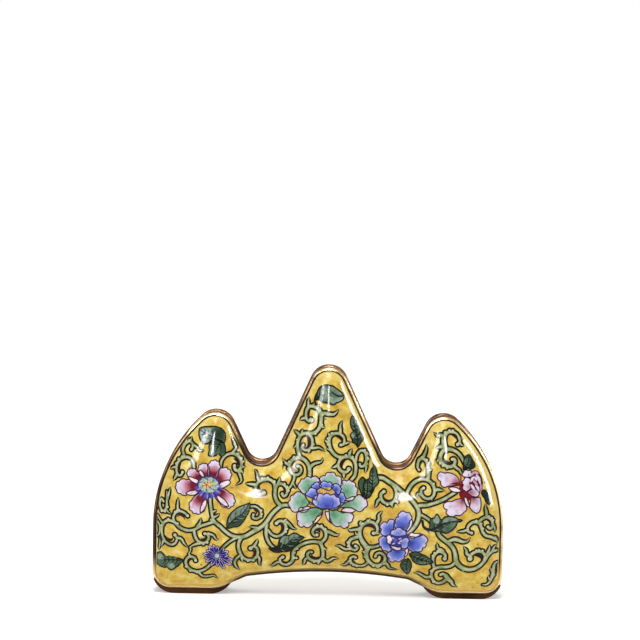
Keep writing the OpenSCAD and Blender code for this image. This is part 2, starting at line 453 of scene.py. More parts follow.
class Painting:
    """All coats of one painted face, as layers with names."""

    def __init__(self):
        self.coats = {}
        self.stems = 0

    def coat(self, name):
        return self.coats.setdefault(name, Coat())

    def vine(self, points, widths, bulb=0):
        """Green stem with dark contours. A bulb is the radius of a round end."""
        path = smooth_path(points)
        fill = spread(widths, path)
        border = np.full(len(path), LINE_W)
        if widths[-1] < POINTED and not bulb:
            border *= spread((1, 1, 1, 1, 0.9, 0.3), path)
        self.coat("vine_contours").ribbon(path, fill + 2 * border, LINE_DARK, CONTOUR_LIFT)
        self.stems = (self.stems + 1) % STEM_LAYERS
        lift = COAT_LIFT + STEM_STEP * self.stems
        self.coat("vines").ribbon(path, fill, VINE_GREEN, lift, edge_colour=VINE_DEEP, wash=VINE_RICH)
        if bulb:
            self.knob(points[-1], bulb)
            self.frill(path, fill)

    def frill(self, path, widths):
        """Small lobes on the outer side of a curl."""
        side = path_sides(path)
        turns = side[:-1, 0] * side[1:, 1] - side[:-1, 1] * side[1:, 0]
        outer = -side * np.sign(turns.sum())
        for share in FRILL_PLACES:
            k = int(share * (len(path) - 1))
            self.knob(path[k] + outer[k] * widths[k] * FRILL_REACH, FRILL_R)

    def knob(self, centre, radius):
        """Round end of a curl, with a dark contour."""
        for name, r, colour, lift in (("vine_contours", radius + LINE_W, LINE_DARK, CONTOUR_LIFT),
                                      ("vines", radius, VINE_GREEN, KNOB_LIFT)):
            self.coat(name).disc(circle(centre, r, KNOB_SIDES), centre, colour, lift)

    def thorn(self, points, width):
        """Short green point that grows out of a stem."""
        self.vine(points, (width * 1.2, width * 0.9, 0.12))

    def spikes(self, pairs):
        """Short straight thorns, each from a base to a tip."""
        for base, tip in pairs:
            self.thorn([base, ((base[0] + tip[0]) / 2, (base[1] + tip[1]) / 2), tip], 0.9)

    def crescent(self, points, width):
        """Dark sickle inside a curl."""
        path = smooth_path(points)
        widths = spread((0.2, width * 1.6, width * 1.6, 0.2), path)
        self.coat("curl_shadows").ribbon(path, widths, CURL_SHADOW, CURL_SHADOW_LIFT)


def scrolls_of_left_foot(art):
    """Scrolls from the left edge to the star flower and the foot of the main stem."""
    art.vine([(-49.5, 33.5), (-46, 31), (-43.5, 28.7), (-41, 27), (-38, 26.3), (-35, 26.8), (-32, 28.6),
              (-29, 30.4), (-27, 32), (-25.5, 34), (-24, 36.3), (-22, 38.5), (-20, 40), (-18, 40.5),
              (-16.5, 40.3)], (1.2, 1.4, 1.7, 1.6, 1.3))
    art.thorn([(-30, 30.4), (-31.8, 30.7), (-33.4, 30.9)], 0.9)
    art.vine([(-48.5, 32.7), (-51.5, 31.6), (-54, 30.7), (-57, 29), (-60, 28.7), (-63, 29.8), (-65.3, 31.8),
              (-68.3, 32.2), (-70.4, 30.3), (-70.9, 27), (-70, 24), (-68.2, 22.4), (-66.2, 22), (-64.7, 23),
              (-64.1, 25), (-65, 26.3)], (1.2, 1.1, 1.2, 1, 0.9), bulb=0.7)
    art.thorn([(-55.2, 30.6), (-54.2, 32.3), (-53.8, 34.2)], 1)
    art.vine([(-64.2, 25.2), (-62.2, 24.8), (-61, 23), (-59.4, 21.4)], (1.1, 0.9, 0.2))
    art.thorn([(-69.8, 24), (-70.4, 22.3), (-70.9, 20.6)], 0.9)
    art.crescent([(-69.3, 25.6), (-68.4, 24.3), (-66.7, 24), (-65.6, 25.2)], 0.8)
    art.vine([(-72.8, 33.8), (-72, 32.4), (-71, 31.2), (-70.2, 30.2)], (0.5, 0.8, 1))
    art.vine([(-72.7, 31), (-71.9, 29.6), (-71.7, 27.6), (-72.1, 25.8), (-72.8, 24.9)],
             (0.5, 0.8, 0.9, 0.7, 0.4))
    art.crescent([(-72.8, 29), (-72.4, 27.8), (-72.8, 26.6)], 0.4)
    art.vine([(-71.8, 23.8), (-71.6, 22), (-71.9, 20.4), (-72.1, 19)], (0.2, 0.5, 0.5, 0.3))
    art.vine([(-56.8, 28.6), (-56.3, 26.3), (-55.2, 24.4), (-53.3, 23.4), (-51.4, 24), (-50.5, 25.8),
              (-51.2, 27.3), (-52.2, 27.5)], (1.2, 1.1, 1), bulb=0.6)
    art.vine([(-50.7, 27.6), (-48.5, 26.8), (-47.6, 25.4), (-46.4, 25.1)], (1, 0.8, 0.2))
    art.thorn([(-53.8, 23.6), (-57, 22.4), (-58.6, 21.3)], 1.1)
    art.thorn([(-58.3, 21.6), (-58.2, 20), (-58.8, 18.6)], 0.5)
    art.crescent([(-53.9, 25.6), (-52.8, 24.9), (-51.9, 25.7), (-52, 26.6)], 0.6)
    art.vine([(-47.5, 14.8), (-49.5, 14), (-51, 12.5), (-53, 11.2), (-55.5, 10.6), (-58, 11.3), (-59.7, 13),
              (-60.2, 15), (-59.3, 16.8), (-57.7, 17.3), (-56.4, 16.7), (-56, 15.6)], (0.9, 1.2, 1.1),
             bulb=0.6)
    art.thorn([(-58.3, 17.4), (-58.8, 18.4), (-58.7, 19.4)], 0.8)
    art.crescent([(-59, 14), (-58.9, 15.6), (-57.6, 16)], 0.6)
    art.vine([(-54.7, 10.4), (-53.5, 8.7), (-52, 8.2), (-50, 8.5), (-48.2, 8.7), (-46.9, 7.4)],
             (1.1, 0.8, 0.2))
    art.vine([(-38.5, 26), (-40.5, 25), (-43, 23), (-45, 20.9)], (1.1, 0.9, 0.8))
    art.vine([(-36.5, 26.3), (-37.7, 24), (-37.8, 21.5), (-37, 19), (-35.7, 17), (-33.7, 16), (-31.7, 16.2),
              (-30.2, 17.5), (-29.6, 19.5), (-30, 21.4), (-31.3, 22.3), (-32.7, 21.4)], (1.4, 1.2, 1.2, 1),
             bulb=0.8)
    art.thorn([(-31, 22.8), (-30.2, 24.2), (-29.7, 25.6)], 1)
    art.vine([(-29.6, 18), (-28.9, 16.5), (-29, 14.8), (-28.4, 13.1)], (1.1, 1, 0.3))
    art.crescent([(-32.2, 20.2), (-31.1, 20), (-30.9, 18.7), (-32, 17.9)], 0.8)
    art.vine([(-37.3, 18), (-38.8, 16.5), (-39.4, 14.8), (-38.9, 13), (-37.4, 11.3)], (1, 1, 0.9, 0.2))
    art.thorn([(-36.4, 17.2), (-36.3, 16), (-36.1, 15)], 0.9)


def scrolls_of_left_peak(art):
    """Scrolls round the red flower and up to the leaf on the left peak."""
    art.vine([(-50.2, 43), (-49.9, 40), (-49.4, 36.5), (-48.6, 33.5), (-46.5, 31.2)], (1.1, 1.1, 1.2))
    art.thorn([(-49.3, 37), (-48.3, 37.2), (-47.4, 37.9)], 0.8)
    art.thorn([(-48.7, 34.6), (-47.3, 35.2), (-46, 36.2)], 0.8)
    art.vine([(-65.3, 31.8), (-65.8, 33.8), (-64.8, 35.9), (-62.8, 36.7), (-60.8, 36), (-59.6, 34.9)],
             (1.1, 1, 0.9), bulb=0.6)
    art.thorn([(-63.8, 36.6), (-64, 39), (-63.8, 42.4)], 0.9)
    art.crescent([(-64.2, 34.3), (-62.9, 35.2), (-61.3, 34.4), (-60.9, 33.2)], 0.6)
    art.vine([(-68.9, 44.5), (-68.8, 40.5), (-68.9, 37.6), (-70.1, 36), (-71.5, 36.9), (-72, 39.2),
              (-71.2, 41), (-70.3, 40)], (0.4, 1, 1, 0.9), bulb=0.4)
    art.thorn([(-68.6, 41.5), (-67.9, 44), (-67.3, 46.4)], 0.9)
    art.thorn([(-68.9, 36.6), (-67.8, 35.6), (-66.6, 35.4)], 0.7)
    art.vine([(-57.2, 55.5), (-57.6, 57.8), (-59.3, 59.4), (-61.5, 59.4), (-63.7, 58), (-64.8, 55.8),
              (-64.8, 53.4), (-63.9, 51.8), (-62.7, 52), (-62.2, 53.2)], (1.1, 1.2, 1.1, 0.9), bulb=0.6)
    art.thorn([(-65, 55), (-66.5, 54.6), (-67.7, 53.8)], 0.9)
    art.thorn([(-64.6, 52), (-65.4, 50.6), (-66.1, 49.3)], 0.9)
    art.vine([(-61.5, 59.6), (-62.4, 62.3), (-61.4, 64.8), (-59.6, 66), (-58.2, 65.3), (-58.1, 63.8),
              (-58.6, 62.8)], (1.1, 1, 0.9), bulb=0.5)
    art.thorn([(-59.4, 66.1), (-58.9, 67), (-58.5, 67.9)], 0.8)
    art.vine([(-57.7, 64.8), (-56.4, 64.1), (-55, 62.7), (-53.1, 62.8)], (1, 0.8, 0.2))
    art.vine([(-46, 56), (-45.5, 58.8), (-43.7, 60.9), (-41, 61.4), (-38.7, 60.1), (-37.4, 58),
              (-37.4, 55.6), (-38.7, 54.3), (-40, 55), (-40.2, 56.4)], (0.9, 1.1, 1.3, 1.2), bulb=0.6)
    art.spikes((((-37, 57.5), (-35.8, 58)), ((-36.9, 55.7), (-35.6, 55.6)), ((-37.6, 54.3), (-36.4, 53.2))))
    art.vine([(-38.3, 53.9), (-37.4, 51.5), (-37.2, 50), (-39.2, 48.5)], (1.1, 0.8, 0.2))
    art.vine([(-41, 61.8), (-39.8, 63.6), (-40.5, 65.6), (-41.7, 68.4)], (1.1, 0.8, 0.2))
    art.crescent([(-40.6, 59.4), (-39, 58.2), (-38.9, 56.2)], 0.7)
    art.crescent([(-62.9, 57), (-63.7, 55.2), (-63.2, 53.6)], 0.6)


def scrolls_left_of_middle(art):
    """Scrolls between the left valley and the arch."""
    art.vine([(-26, 32), (-26.2, 29.5), (-26.1, 27.3), (-25.4, 25), (-24, 22.9), (-22.3, 21.7)],
             (1.4, 1.4, 1.2, 0.9))
    art.vine([(-25.3, 29.5), (-23.8, 27.7), (-21.6, 26.9), (-19.4, 27.8), (-18.1, 29.6), (-17.9, 31.6),
              (-18.9, 33.3), (-20.6, 33.6), (-21.9, 32.6)], (1, 1.1, 1.3, 1.2), bulb=0.7)
    art.vine([(-18, 33.6), (-16.4, 32.3), (-15, 30.8), (-13.3, 30.2)], (1.1, 0.9, 0.2))
    art.thorn([(-18.6, 33.5), (-18.1, 34.2), (-17.5, 34.6)], 1)
    art.crescent([(-20.6, 32.1), (-19.4, 31.5), (-19.3, 29.6), (-20.9, 28.2)], 0.9)
    art.vine([(-2.6, 24.6), (-6, 24.9), (-9, 24.4), (-11.5, 23.2), (-13.5, 21.6), (-14.6, 19.8),
              (-14.6, 17.6), (-15.1, 15.6), (-16.8, 14), (-18.6, 13.8), (-20, 15), (-20.1, 16.7),
              (-19, 17.5)], (1.3, 1.2, 1.3, 1.1), bulb=0.7)
    art.knob((-13.2, 17.2), 0.6)
    art.vine([(-20.3, 15.2), (-22, 14.6), (-23, 13.6), (-24.4, 13.3)], (1.1, 0.9, 0.3))
    art.crescent([(-19.3, 16.3), (-18.7, 15.1), (-17.3, 14.8), (-16.4, 15.6)], 0.7)
    art.vine([(-3.2, 24.4), (-2.3, 22.5), (-1.9, 20), (-2.1, 17.6), (-3.7, 16), (-6, 15.9), (-7.9, 17.1),
              (-8.5, 18.9), (-7.6, 20.2), (-6.7, 20.1)], (1.3, 1.4, 1.3, 1), bulb=0.5)
    art.vine([(-8.6, 17.3), (-9.6, 16.2), (-9.8, 14.8), (-10.6, 13.7)], (1.1, 0.9, 0.2))
    art.thorn([(-3.8, 15.6), (-3.8, 14.6), (-3.6, 13.7)], 1)
    art.thorn([(-1.7, 22), (-0.9, 21.6), (-0.4, 21.2)], 0.8)
    art.crescent([(-6.8, 19.1), (-6.3, 17.6), (-4.7, 17.2), (-3.6, 18)], 0.9)
    art.vine([(-2.4, 24.9), (-1, 26.6), (-0.9, 29), (-2.1, 30.9), (-3.9, 31.6), (-5.7, 30.8), (-6.5, 29.1),
              (-5.8, 27.8), (-4.6, 27.9)], (1.3, 1.2, 1.2, 0.9), bulb=0.6)
    art.crescent([(-5.2, 29.9), (-3.9, 29.9), (-3.2, 28.8)], 0.7)
    art.vine([(-0.9, 29.6), (0.8, 29.1), (2.4, 28.4), (3.9, 28), (5, 28.6)], (1.3, 1.2, 0.9, 0.2))
    art.vine([(-1.9, 17.3), (-0.4, 15.8), (1, 16.2), (2.5, 17.3), (4.6, 17)], (1.2, 1.2, 1, 0.2))
    art.vine([(-20.3, 40.4), (-21.8, 42), (-22.7, 44.5), (-22.7, 47.2), (-23.2, 49.4), (-25, 50.7),
              (-27.4, 50.8), (-29.7, 49.7), (-31, 47.8), (-30.7, 45.7), (-29.1, 44.7), (-27.4, 45.4)],
             (1.4, 1.3, 1.2, 1.1), bulb=0.8)
    art.crescent([(-29.6, 49.4), (-29.6, 47.4), (-28.4, 45.9)], 0.6)
    art.thorn([(-29.6, 50.2), (-30.4, 51.6), (-30.6, 53)], 1)
    art.thorn([(-30.4, 52), (-30.9, 53.4), (-31.6, 54.4)], 0.5)
    art.thorn([(-31, 48.6), (-33, 48.8), (-35.4, 49.1)], 1.1)
    art.thorn([(-26.6, 50.9), (-26.1, 51.4), (-25.8, 51.8)], 0.9)
    art.vine([(-22.6, 47.5), (-21.6, 49), (-19.9, 49.3), (-18.2, 48.3), (-17.5, 46.6), (-17.9, 44.9),
              (-19.1, 44.2), (-19.6, 45.2)], (1.2, 1.1, 1), bulb=0.6)
    art.thorn([(-21.6, 49.2), (-21.1, 50.5), (-20.8, 52)], 0.9)
    art.crescent([(-19.7, 48), (-18.7, 47.2), (-19.2, 45.9)], 0.6)
    art.vine([(-33.2, 39.6), (-31, 39.6), (-29.3, 38.6), (-28.5, 36.9), (-29, 35.2), (-30.5, 34.4),
              (-31.9, 34.9), (-31.7, 36.1)], (0.8, 0.9, 0.9), bulb=0.5)
    art.crescent([(-31.6, 38.4), (-30.4, 37.6), (-30.4, 36.4)], 0.6)


def scrolls_of_middle_peak(art):
    """Scrolls from the large flower up both sides of the middle peak."""
    art.vine([(-8.2, 53.3), (-8.2, 55.5), (-8.8, 57.8), (-10.3, 59.7), (-12.3, 60.6), (-14.3, 60.3),
              (-16, 59), (-16.8, 57), (-16.5, 55), (-15.3, 53.6), (-13.8, 53.3), (-12.4, 54), (-11.8, 55.4),
              (-12.2, 56.7), (-13.2, 56.9)], (1.5, 1.5, 1.3, 1.1, 1), bulb=0.6)
    art.vine([(-14.6, 53.2), (-14.8, 51.4), (-15.4, 49.9), (-16.2, 48.4), (-17.3, 47)], (1.1, 0.9, 0.8, 0.9))
    art.thorn([(-15, 49.6), (-14.4, 48.6), (-13.9, 47.5)], 0.6)
    art.thorn([(-16.8, 57.4), (-18.4, 57.8), (-19.6, 59.2)], 1.3)
    art.crescent([(-15.9, 56.6), (-15, 55.2), (-13.5, 55.2)], 0.9)
    art.vine([(-8.3, 55.8), (-7.5, 57.4), (-6, 58.5), (-4.5, 58.9), (-3.3, 59.4), (-2.8, 60.9)],
             (1.2, 1.2, 0.9, 0.2))
    art.vine([(-12.2, 60.6), (-13, 62.4), (-13.5, 64.4), (-13.6, 66.4), (-13, 68.6), (-11.9, 70.2),
              (-9.9, 71), (-7.6, 71), (-5.6, 72), (-4.2, 74), (-3.8, 76.4), (-3.8, 79), (-4.6, 81),
              (-6.5, 82.1), (-8.6, 82.2), (-9.8, 80.8), (-10.2, 78.6), (-10, 76.9), (-8.9, 76), (-8, 76.6)],
             (1.4, 1.3, 1.3, 1.5, 1.5, 1.2, 1), bulb=0.9)
    art.crescent([(-8.6, 81), (-9.2, 79.3), (-8.9, 77.6)], 0.7)
    art.thorn([(-9.3, 82), (-9.3, 84), (-9, 85.8)], 0.9)
    art.thorn([(-7.6, 82.6), (-6.8, 83.4), (-6.5, 84.6)], 0.5)
    art.thorn([(-5.8, 82.2), (-5.2, 82.8), (-4.7, 83.2)], 0.9)
    art.thorn([(-10.2, 77.2), (-11.6, 76.9), (-12.8, 76)], 1)
    art.vine([(-3.8, 79.6), (-2, 79.7), (-0.2, 79.4), (1.6, 79.4), (2.8, 80.4), (3.5, 81.3)],
             (1.4, 1.5, 1.1, 0.2))
    art.thorn([(-4, 74.6), (-3.2, 74), (-2, 73.8)], 1)
    art.vine([(-9, 70.8), (-7.6, 69.2), (-7.2, 67.1), (-7.7, 65.2), (-9.2, 64), (-10.8, 64), (-11.6, 65.1),
              (-11.1, 66)], (1.2, 1.2, 1.1, 1), bulb=0.5)
    art.crescent([(-9.9, 69.6), (-8.8, 68.3), (-8.7, 66.4), (-9.7, 65.1)], 0.9)
    art.vine([(-7.9, 65), (-6.4, 65), (-4.6, 65.3), (-3.2, 64.7), (-2, 63.8)], (1.2, 1, 0.6, 0.15))
    art.thorn([(-9, 64), (-8.8, 63.2), (-8.6, 62.6)], 1)
    art.thorn([(-12.8, 70), (-14, 70.9), (-15.3, 71.6)], 1.1)
    art.thorn([(-11.8, 70.6), (-11.7, 71.6), (-11.4, 72.6)], 0.8)
    art.thorn([(-13.5, 65.6), (-14.5, 65), (-15.3, 64.3)], 0.8)
    art.thorn([(-13.5, 68), (-14, 67.9), (-14.4, 67.8)], 0.8)
    art.vine([(9.5, 51.8), (10.9, 53.6), (11.3, 56), (11.2, 58.4), (10.2, 60.4), (8.4, 61.5), (6.2, 61.4),
              (4.6, 60.2), (4, 58.1), (4.5, 56.2), (6, 55.1), (7.7, 55.3), (8.3, 56.4)],
             (1.2, 1.3, 1.3, 1.4, 1.1), bulb=0.8)
    art.crescent([(7.2, 60.3), (5.6, 59.4), (5.1, 57.7), (5.9, 56.3)], 1.0)
    art.thorn([(3.9, 58.2), (2.6, 57.3), (0.9, 56.8)], 1.2)
    art.vine([(6.2, 55), (6.3, 54), (6.4, 52.3)], (1.6, 1, 0.2))
    art.vine([(7, 61.4), (4, 61.5), (2, 62.7), (0.6, 64.6), (-0.1, 66.8), (-0.2, 69), (0.8, 70.7),
              (2.6, 71.4), (4.4, 71.1), (5.7, 70), (6.2, 68.3), (6, 66.9), (4.8, 66.5)],
             (1.3, 1.3, 1.4, 1.2, 1.1), bulb=0.6)
    art.crescent([(2.8, 70), (4.4, 69.7), (5.3, 68.5), (5, 67.4)], 0.9)
    art.vine([(4.4, 71.3), (4.5, 73), (4.4, 74.6), (4.8, 75.8), (5.3, 76.6)], (1.4, 1.1, 0.7, 0.15))
    art.thorn([(0.3, 70.3), (-0.3, 71), (-0.7, 71.7)], 1)
    art.thorn([(-0.3, 67.2), (-1.3, 67.9), (-2.2, 68.7)], 1)
    art.thorn([(6.1, 67.2), (7.2, 67.2), (8.6, 67.9)], 0.9)
    art.thorn([(0.8, 64), (-0.4, 64.6), (-1.3, 65)], 0.7)
    art.vine([(11.2, 59.4), (11.6, 61.8), (12.6, 63.5), (14, 63.9), (15.3, 62.9), (15.8, 61), (15.6, 59),
              (14.6, 57.5), (13.3, 57.4), (13, 58.3)], (1.1, 1.1, 1.2, 1), bulb=0.5)
    art.thorn([(8.4, 61.8), (8.7, 63.2), (9.5, 64.8)], 1.2)
    art.vine([(15.4, 58.4), (15.7, 56.9), (15.4, 54.8)], (1.1, 0.8, 0.2))
    art.spikes((((15.6, 62), (16.9, 62.2)), ((15.9, 60), (17.3, 60.2)), ((15.6, 58.5), (16.9, 58))))


def scrolls_right_of_middle(art):
    """Scrolls between the arch and the right valley."""
    art.vine([(20.9, 52.5), (23, 52.2), (25.5, 50.7), (28.5, 48.9), (31, 47), (33, 45.6), (34.9, 44),
              (36.6, 42), (38, 39.8), (38.4, 37.3), (38, 35), (36.9, 32.7), (35.3, 30.7), (34, 29.6)],
             (1.4, 1.4, 1.6, 1.7, 1.3))
    art.vine([(27, 49.8), (28.3, 48), (28.7, 45.8), (28.3, 43.8), (27, 42.4), (25, 42), (23.2, 42.7),
              (22.2, 44.3), (22.3, 46), (23.4, 46.9)], (1.4, 1.2, 1.3, 1.2), bulb=0.7)
    art.crescent([(23.4, 44.9), (24, 43.5), (25.7, 43), (27.3, 44)], 0.8)
    art.thorn([(28.6, 46.8), (29.2, 46), (29.6, 46.6)], 0.8)
    art.thorn([(28.2, 43.3), (29.2, 42.6), (29.2, 41.6)], 1.2)
    art.thorn([(26.6, 42), (27, 41), (27.2, 40.1)], 1.1)
    art.vine([(22.2, 44), (20.9, 43), (20.4, 41.5), (19.6, 40.2)], (1.2, 1, 0.25))
    art.vine([(20.7, 33.6), (21.5, 35.2), (21.4, 37), (22.9, 38.7)], (1.2, 1, 0.2))
    art.vine([(33, 45.8), (33.8, 47.8), (35.2, 49.9), (37.3, 51.6), (39.8, 52.4), (42.3, 51.9), (44.2, 50),
              (44.8, 47.5), (44.1, 45.3), (42.3, 44.4), (40.5, 44.8), (39.3, 46.2), (39.2, 48),
              (40.2, 48.8)], (1.4, 1.3, 1.3, 1.2, 1), bulb=0.6)
    art.vine([(39, 46.4), (38, 46.4), (37.4, 45.7), (37.7, 44.7)], (0.7, 0.6, 0.2))
    art.thorn([(43.6, 44.9), (43.7, 44.2), (43.8, 43.7)], 0.8)
    art.thorn([(44.9, 48.3), (46.7, 48.3), (48.8, 47.9)], 1.3)
    art.vine([(38.6, 41.4), (41.5, 41.6), (44, 42.3), (46.5, 43.2), (49, 44.4), (51.5, 46), (53.8, 47.5)],
             (1.5, 1.3, 1.3, 1.2))
    art.vine([(17, 22.6), (16.4, 20), (17, 17.4), (18.4, 15.4), (20.3, 14.4), (22.4, 14.6), (24, 15.9),
              (24.5, 17.8), (23.9, 19.5), (22.4, 20.4), (20.9, 20), (20.4, 18.8)], (2, 1.6, 1.4, 1.2, 1),
             bulb=0.6)
    art.crescent([(21.9, 19.2), (23.1, 18.8), (23.2, 17.2), (22, 15.9)], 0.8)
    art.thorn([(16.3, 20.6), (15.4, 20.6), (14.8, 21.2)], 1)
    art.thorn([(16.6, 18.4), (15.7, 18.3), (15.2, 18.8)], 1)
    art.thorn([(21, 14.3), (21.5, 13.3), (21.8, 12.5)], 1.4)
    art.vine([(24.4, 16.2), (25.8, 14.6), (26.7, 13.2), (30, 12.5)], (1.4, 1.1, 0.3, 0.1))
    art.vine([(17.2, 15.6), (15.6, 14.1), (13.5, 13.8), (11.4, 14.4), (9.9, 15.8), (9.8, 17.5), (11, 18.4),
              (12, 18)], (0.9, 0.9, 1.1, 1.1), bulb=0.5)
    art.crescent([(11, 17.7), (10.9, 16.2), (12.2, 15.2)], 0.7)
    art.vine([(9.8, 16.4), (8.6, 15.3), (7.4, 14.2), (5.9, 14.2)], (1.3, 1, 0.3))
    art.vine([(17, 22.4), (15, 25), (13.7, 27.8), (13.6, 30.4), (14.7, 32.5), (16.6, 33.8), (18.7, 33.9),
              (20.3, 32.8), (21, 31), (20.6, 29.4), (19.3, 29.1)], (2.2, 1.7, 1.3, 1.3, 1.1), bulb=0.7)
    art.crescent([(15.3, 31.6), (16.8, 32.5), (18.6, 32.2), (19.5, 30.9)], 0.9)
    art.thorn([(20.6, 29.4), (21.3, 29), (22, 28.8)], 0.8)
    art.thorn([(14.4, 32.6), (13.6, 33.4), (14.2, 34.5)], 1.2)
    art.thorn([(17.2, 34.2), (17.6, 35), (17.8, 35.8)], 0.9)
    art.vine([(13.5, 27.8), (11.6, 27), (9.8, 26.2), (9, 24.7), (9.3, 23), (10.5, 21.7), (12, 21.5),
              (12.7, 22.7), (11.8, 23.3)], (1.4, 1.3, 1.1, 1), bulb=0.6)
    art.crescent([(9.9, 24.7), (10.2, 23.4), (11, 22.9)], 0.7)
    art.vine([(9.6, 22.2), (7.9, 21.7), (6.3, 22.4), (4.9, 23.2), (3.4, 23.2)], (1.1, 1, 0.9, 0.3))
    art.vine([(13.5, 30.3), (12.2, 30.6), (10.6, 30.4), (9.4, 30.2), (8.5, 31.2)], (1.3, 1.1, 0.9, 0.2))
    art.thorn([(12.9, 28.6), (12, 28.6), (11.6, 29.8)], 0.7)
    art.vine([(17, 22.8), (19.4, 23), (21.4, 23.6), (22.4, 24)], (1.6, 1, 1))


def scrolls_of_right_peak(art):
    """Scrolls of the right valley's side and the right peak."""
    art.vine([(42, 52.2), (42.2, 55), (42, 57.4), (41.3, 59.6), (39.9, 60.7), (38.4, 60.2), (37.7, 58.4),
              (37.6, 56.8), (38.2, 56)], (1.4, 1.4, 1.2, 0.9), bulb=0.5)
    art.crescent([(39.6, 59.5), (38.7, 58.8), (38.7, 57.6)], 0.6)
    art.vine([(39.7, 61), (40.5, 62.8), (41.1, 64.6), (41.1, 66.6)], (1.2, 0.9, 0.15))
    art.thorn([(41.7, 58.6), (42.3, 59.2), (42.7, 60)], 1)
    art.thorn([(42.2, 56.2), (43, 56.3), (43.8, 56.7)], 0.9)
    art.vine([(49.4, 65.4), (47.9, 64.4), (47, 62.4), (47.2, 60.4), (48.5, 58.9), (50.5, 58.1), (52.4, 58.5),
              (53.3, 60), (52.9, 61.3), (52, 61.2)], (1.6, 1.6, 1.4, 1.2), bulb=0.6)
    art.crescent([(48.6, 61.6), (49.2, 60.2), (50.7, 59.5), (51.8, 60.3)], 1)
    art.vine([(52.7, 58.7), (54, 57.5), (55.2, 56.7), (55.9, 55.3)], (1.2, 1, 0.5))
    art.thorn([(47, 60.6), (46, 60.6), (45.6, 59.7)], 1.3)
    art.thorn([(47.6, 59.4), (46.8, 59.1), (46.3, 58.9)], 1)
    art.vine([(49.4, 65.4), (51.8, 65.2), (54.2, 64), (56, 62), (57.4, 59.4)], (1.6, 1.3, 1.2, 1.1))
    art.vine([(49.3, 65.2), (48.4, 67.4), (48.4, 69.8), (49.3, 71.8), (51.2, 72.5), (53.2, 71.8),
              (54.7, 70.2), (55.2, 68.4), (54.3, 67.3)], (2.2, 2, 1.3, 1.2, 1), bulb=0.7)
    art.crescent([(50.8, 71.4), (52.5, 71.2), (53.8, 70), (54, 68.7)], 0.8)
    art.thorn([(55, 67.9), (56, 67), (57, 66.4)], 0.8)
    art.vine([(48.6, 70.2), (47.2, 71), (45.8, 70.7), (44.2, 71.8)], (1.8, 1.1, 0.15))
    art.thorn([(48.4, 66.6), (46.6, 66.2), (44.9, 65.7)], 1.5)


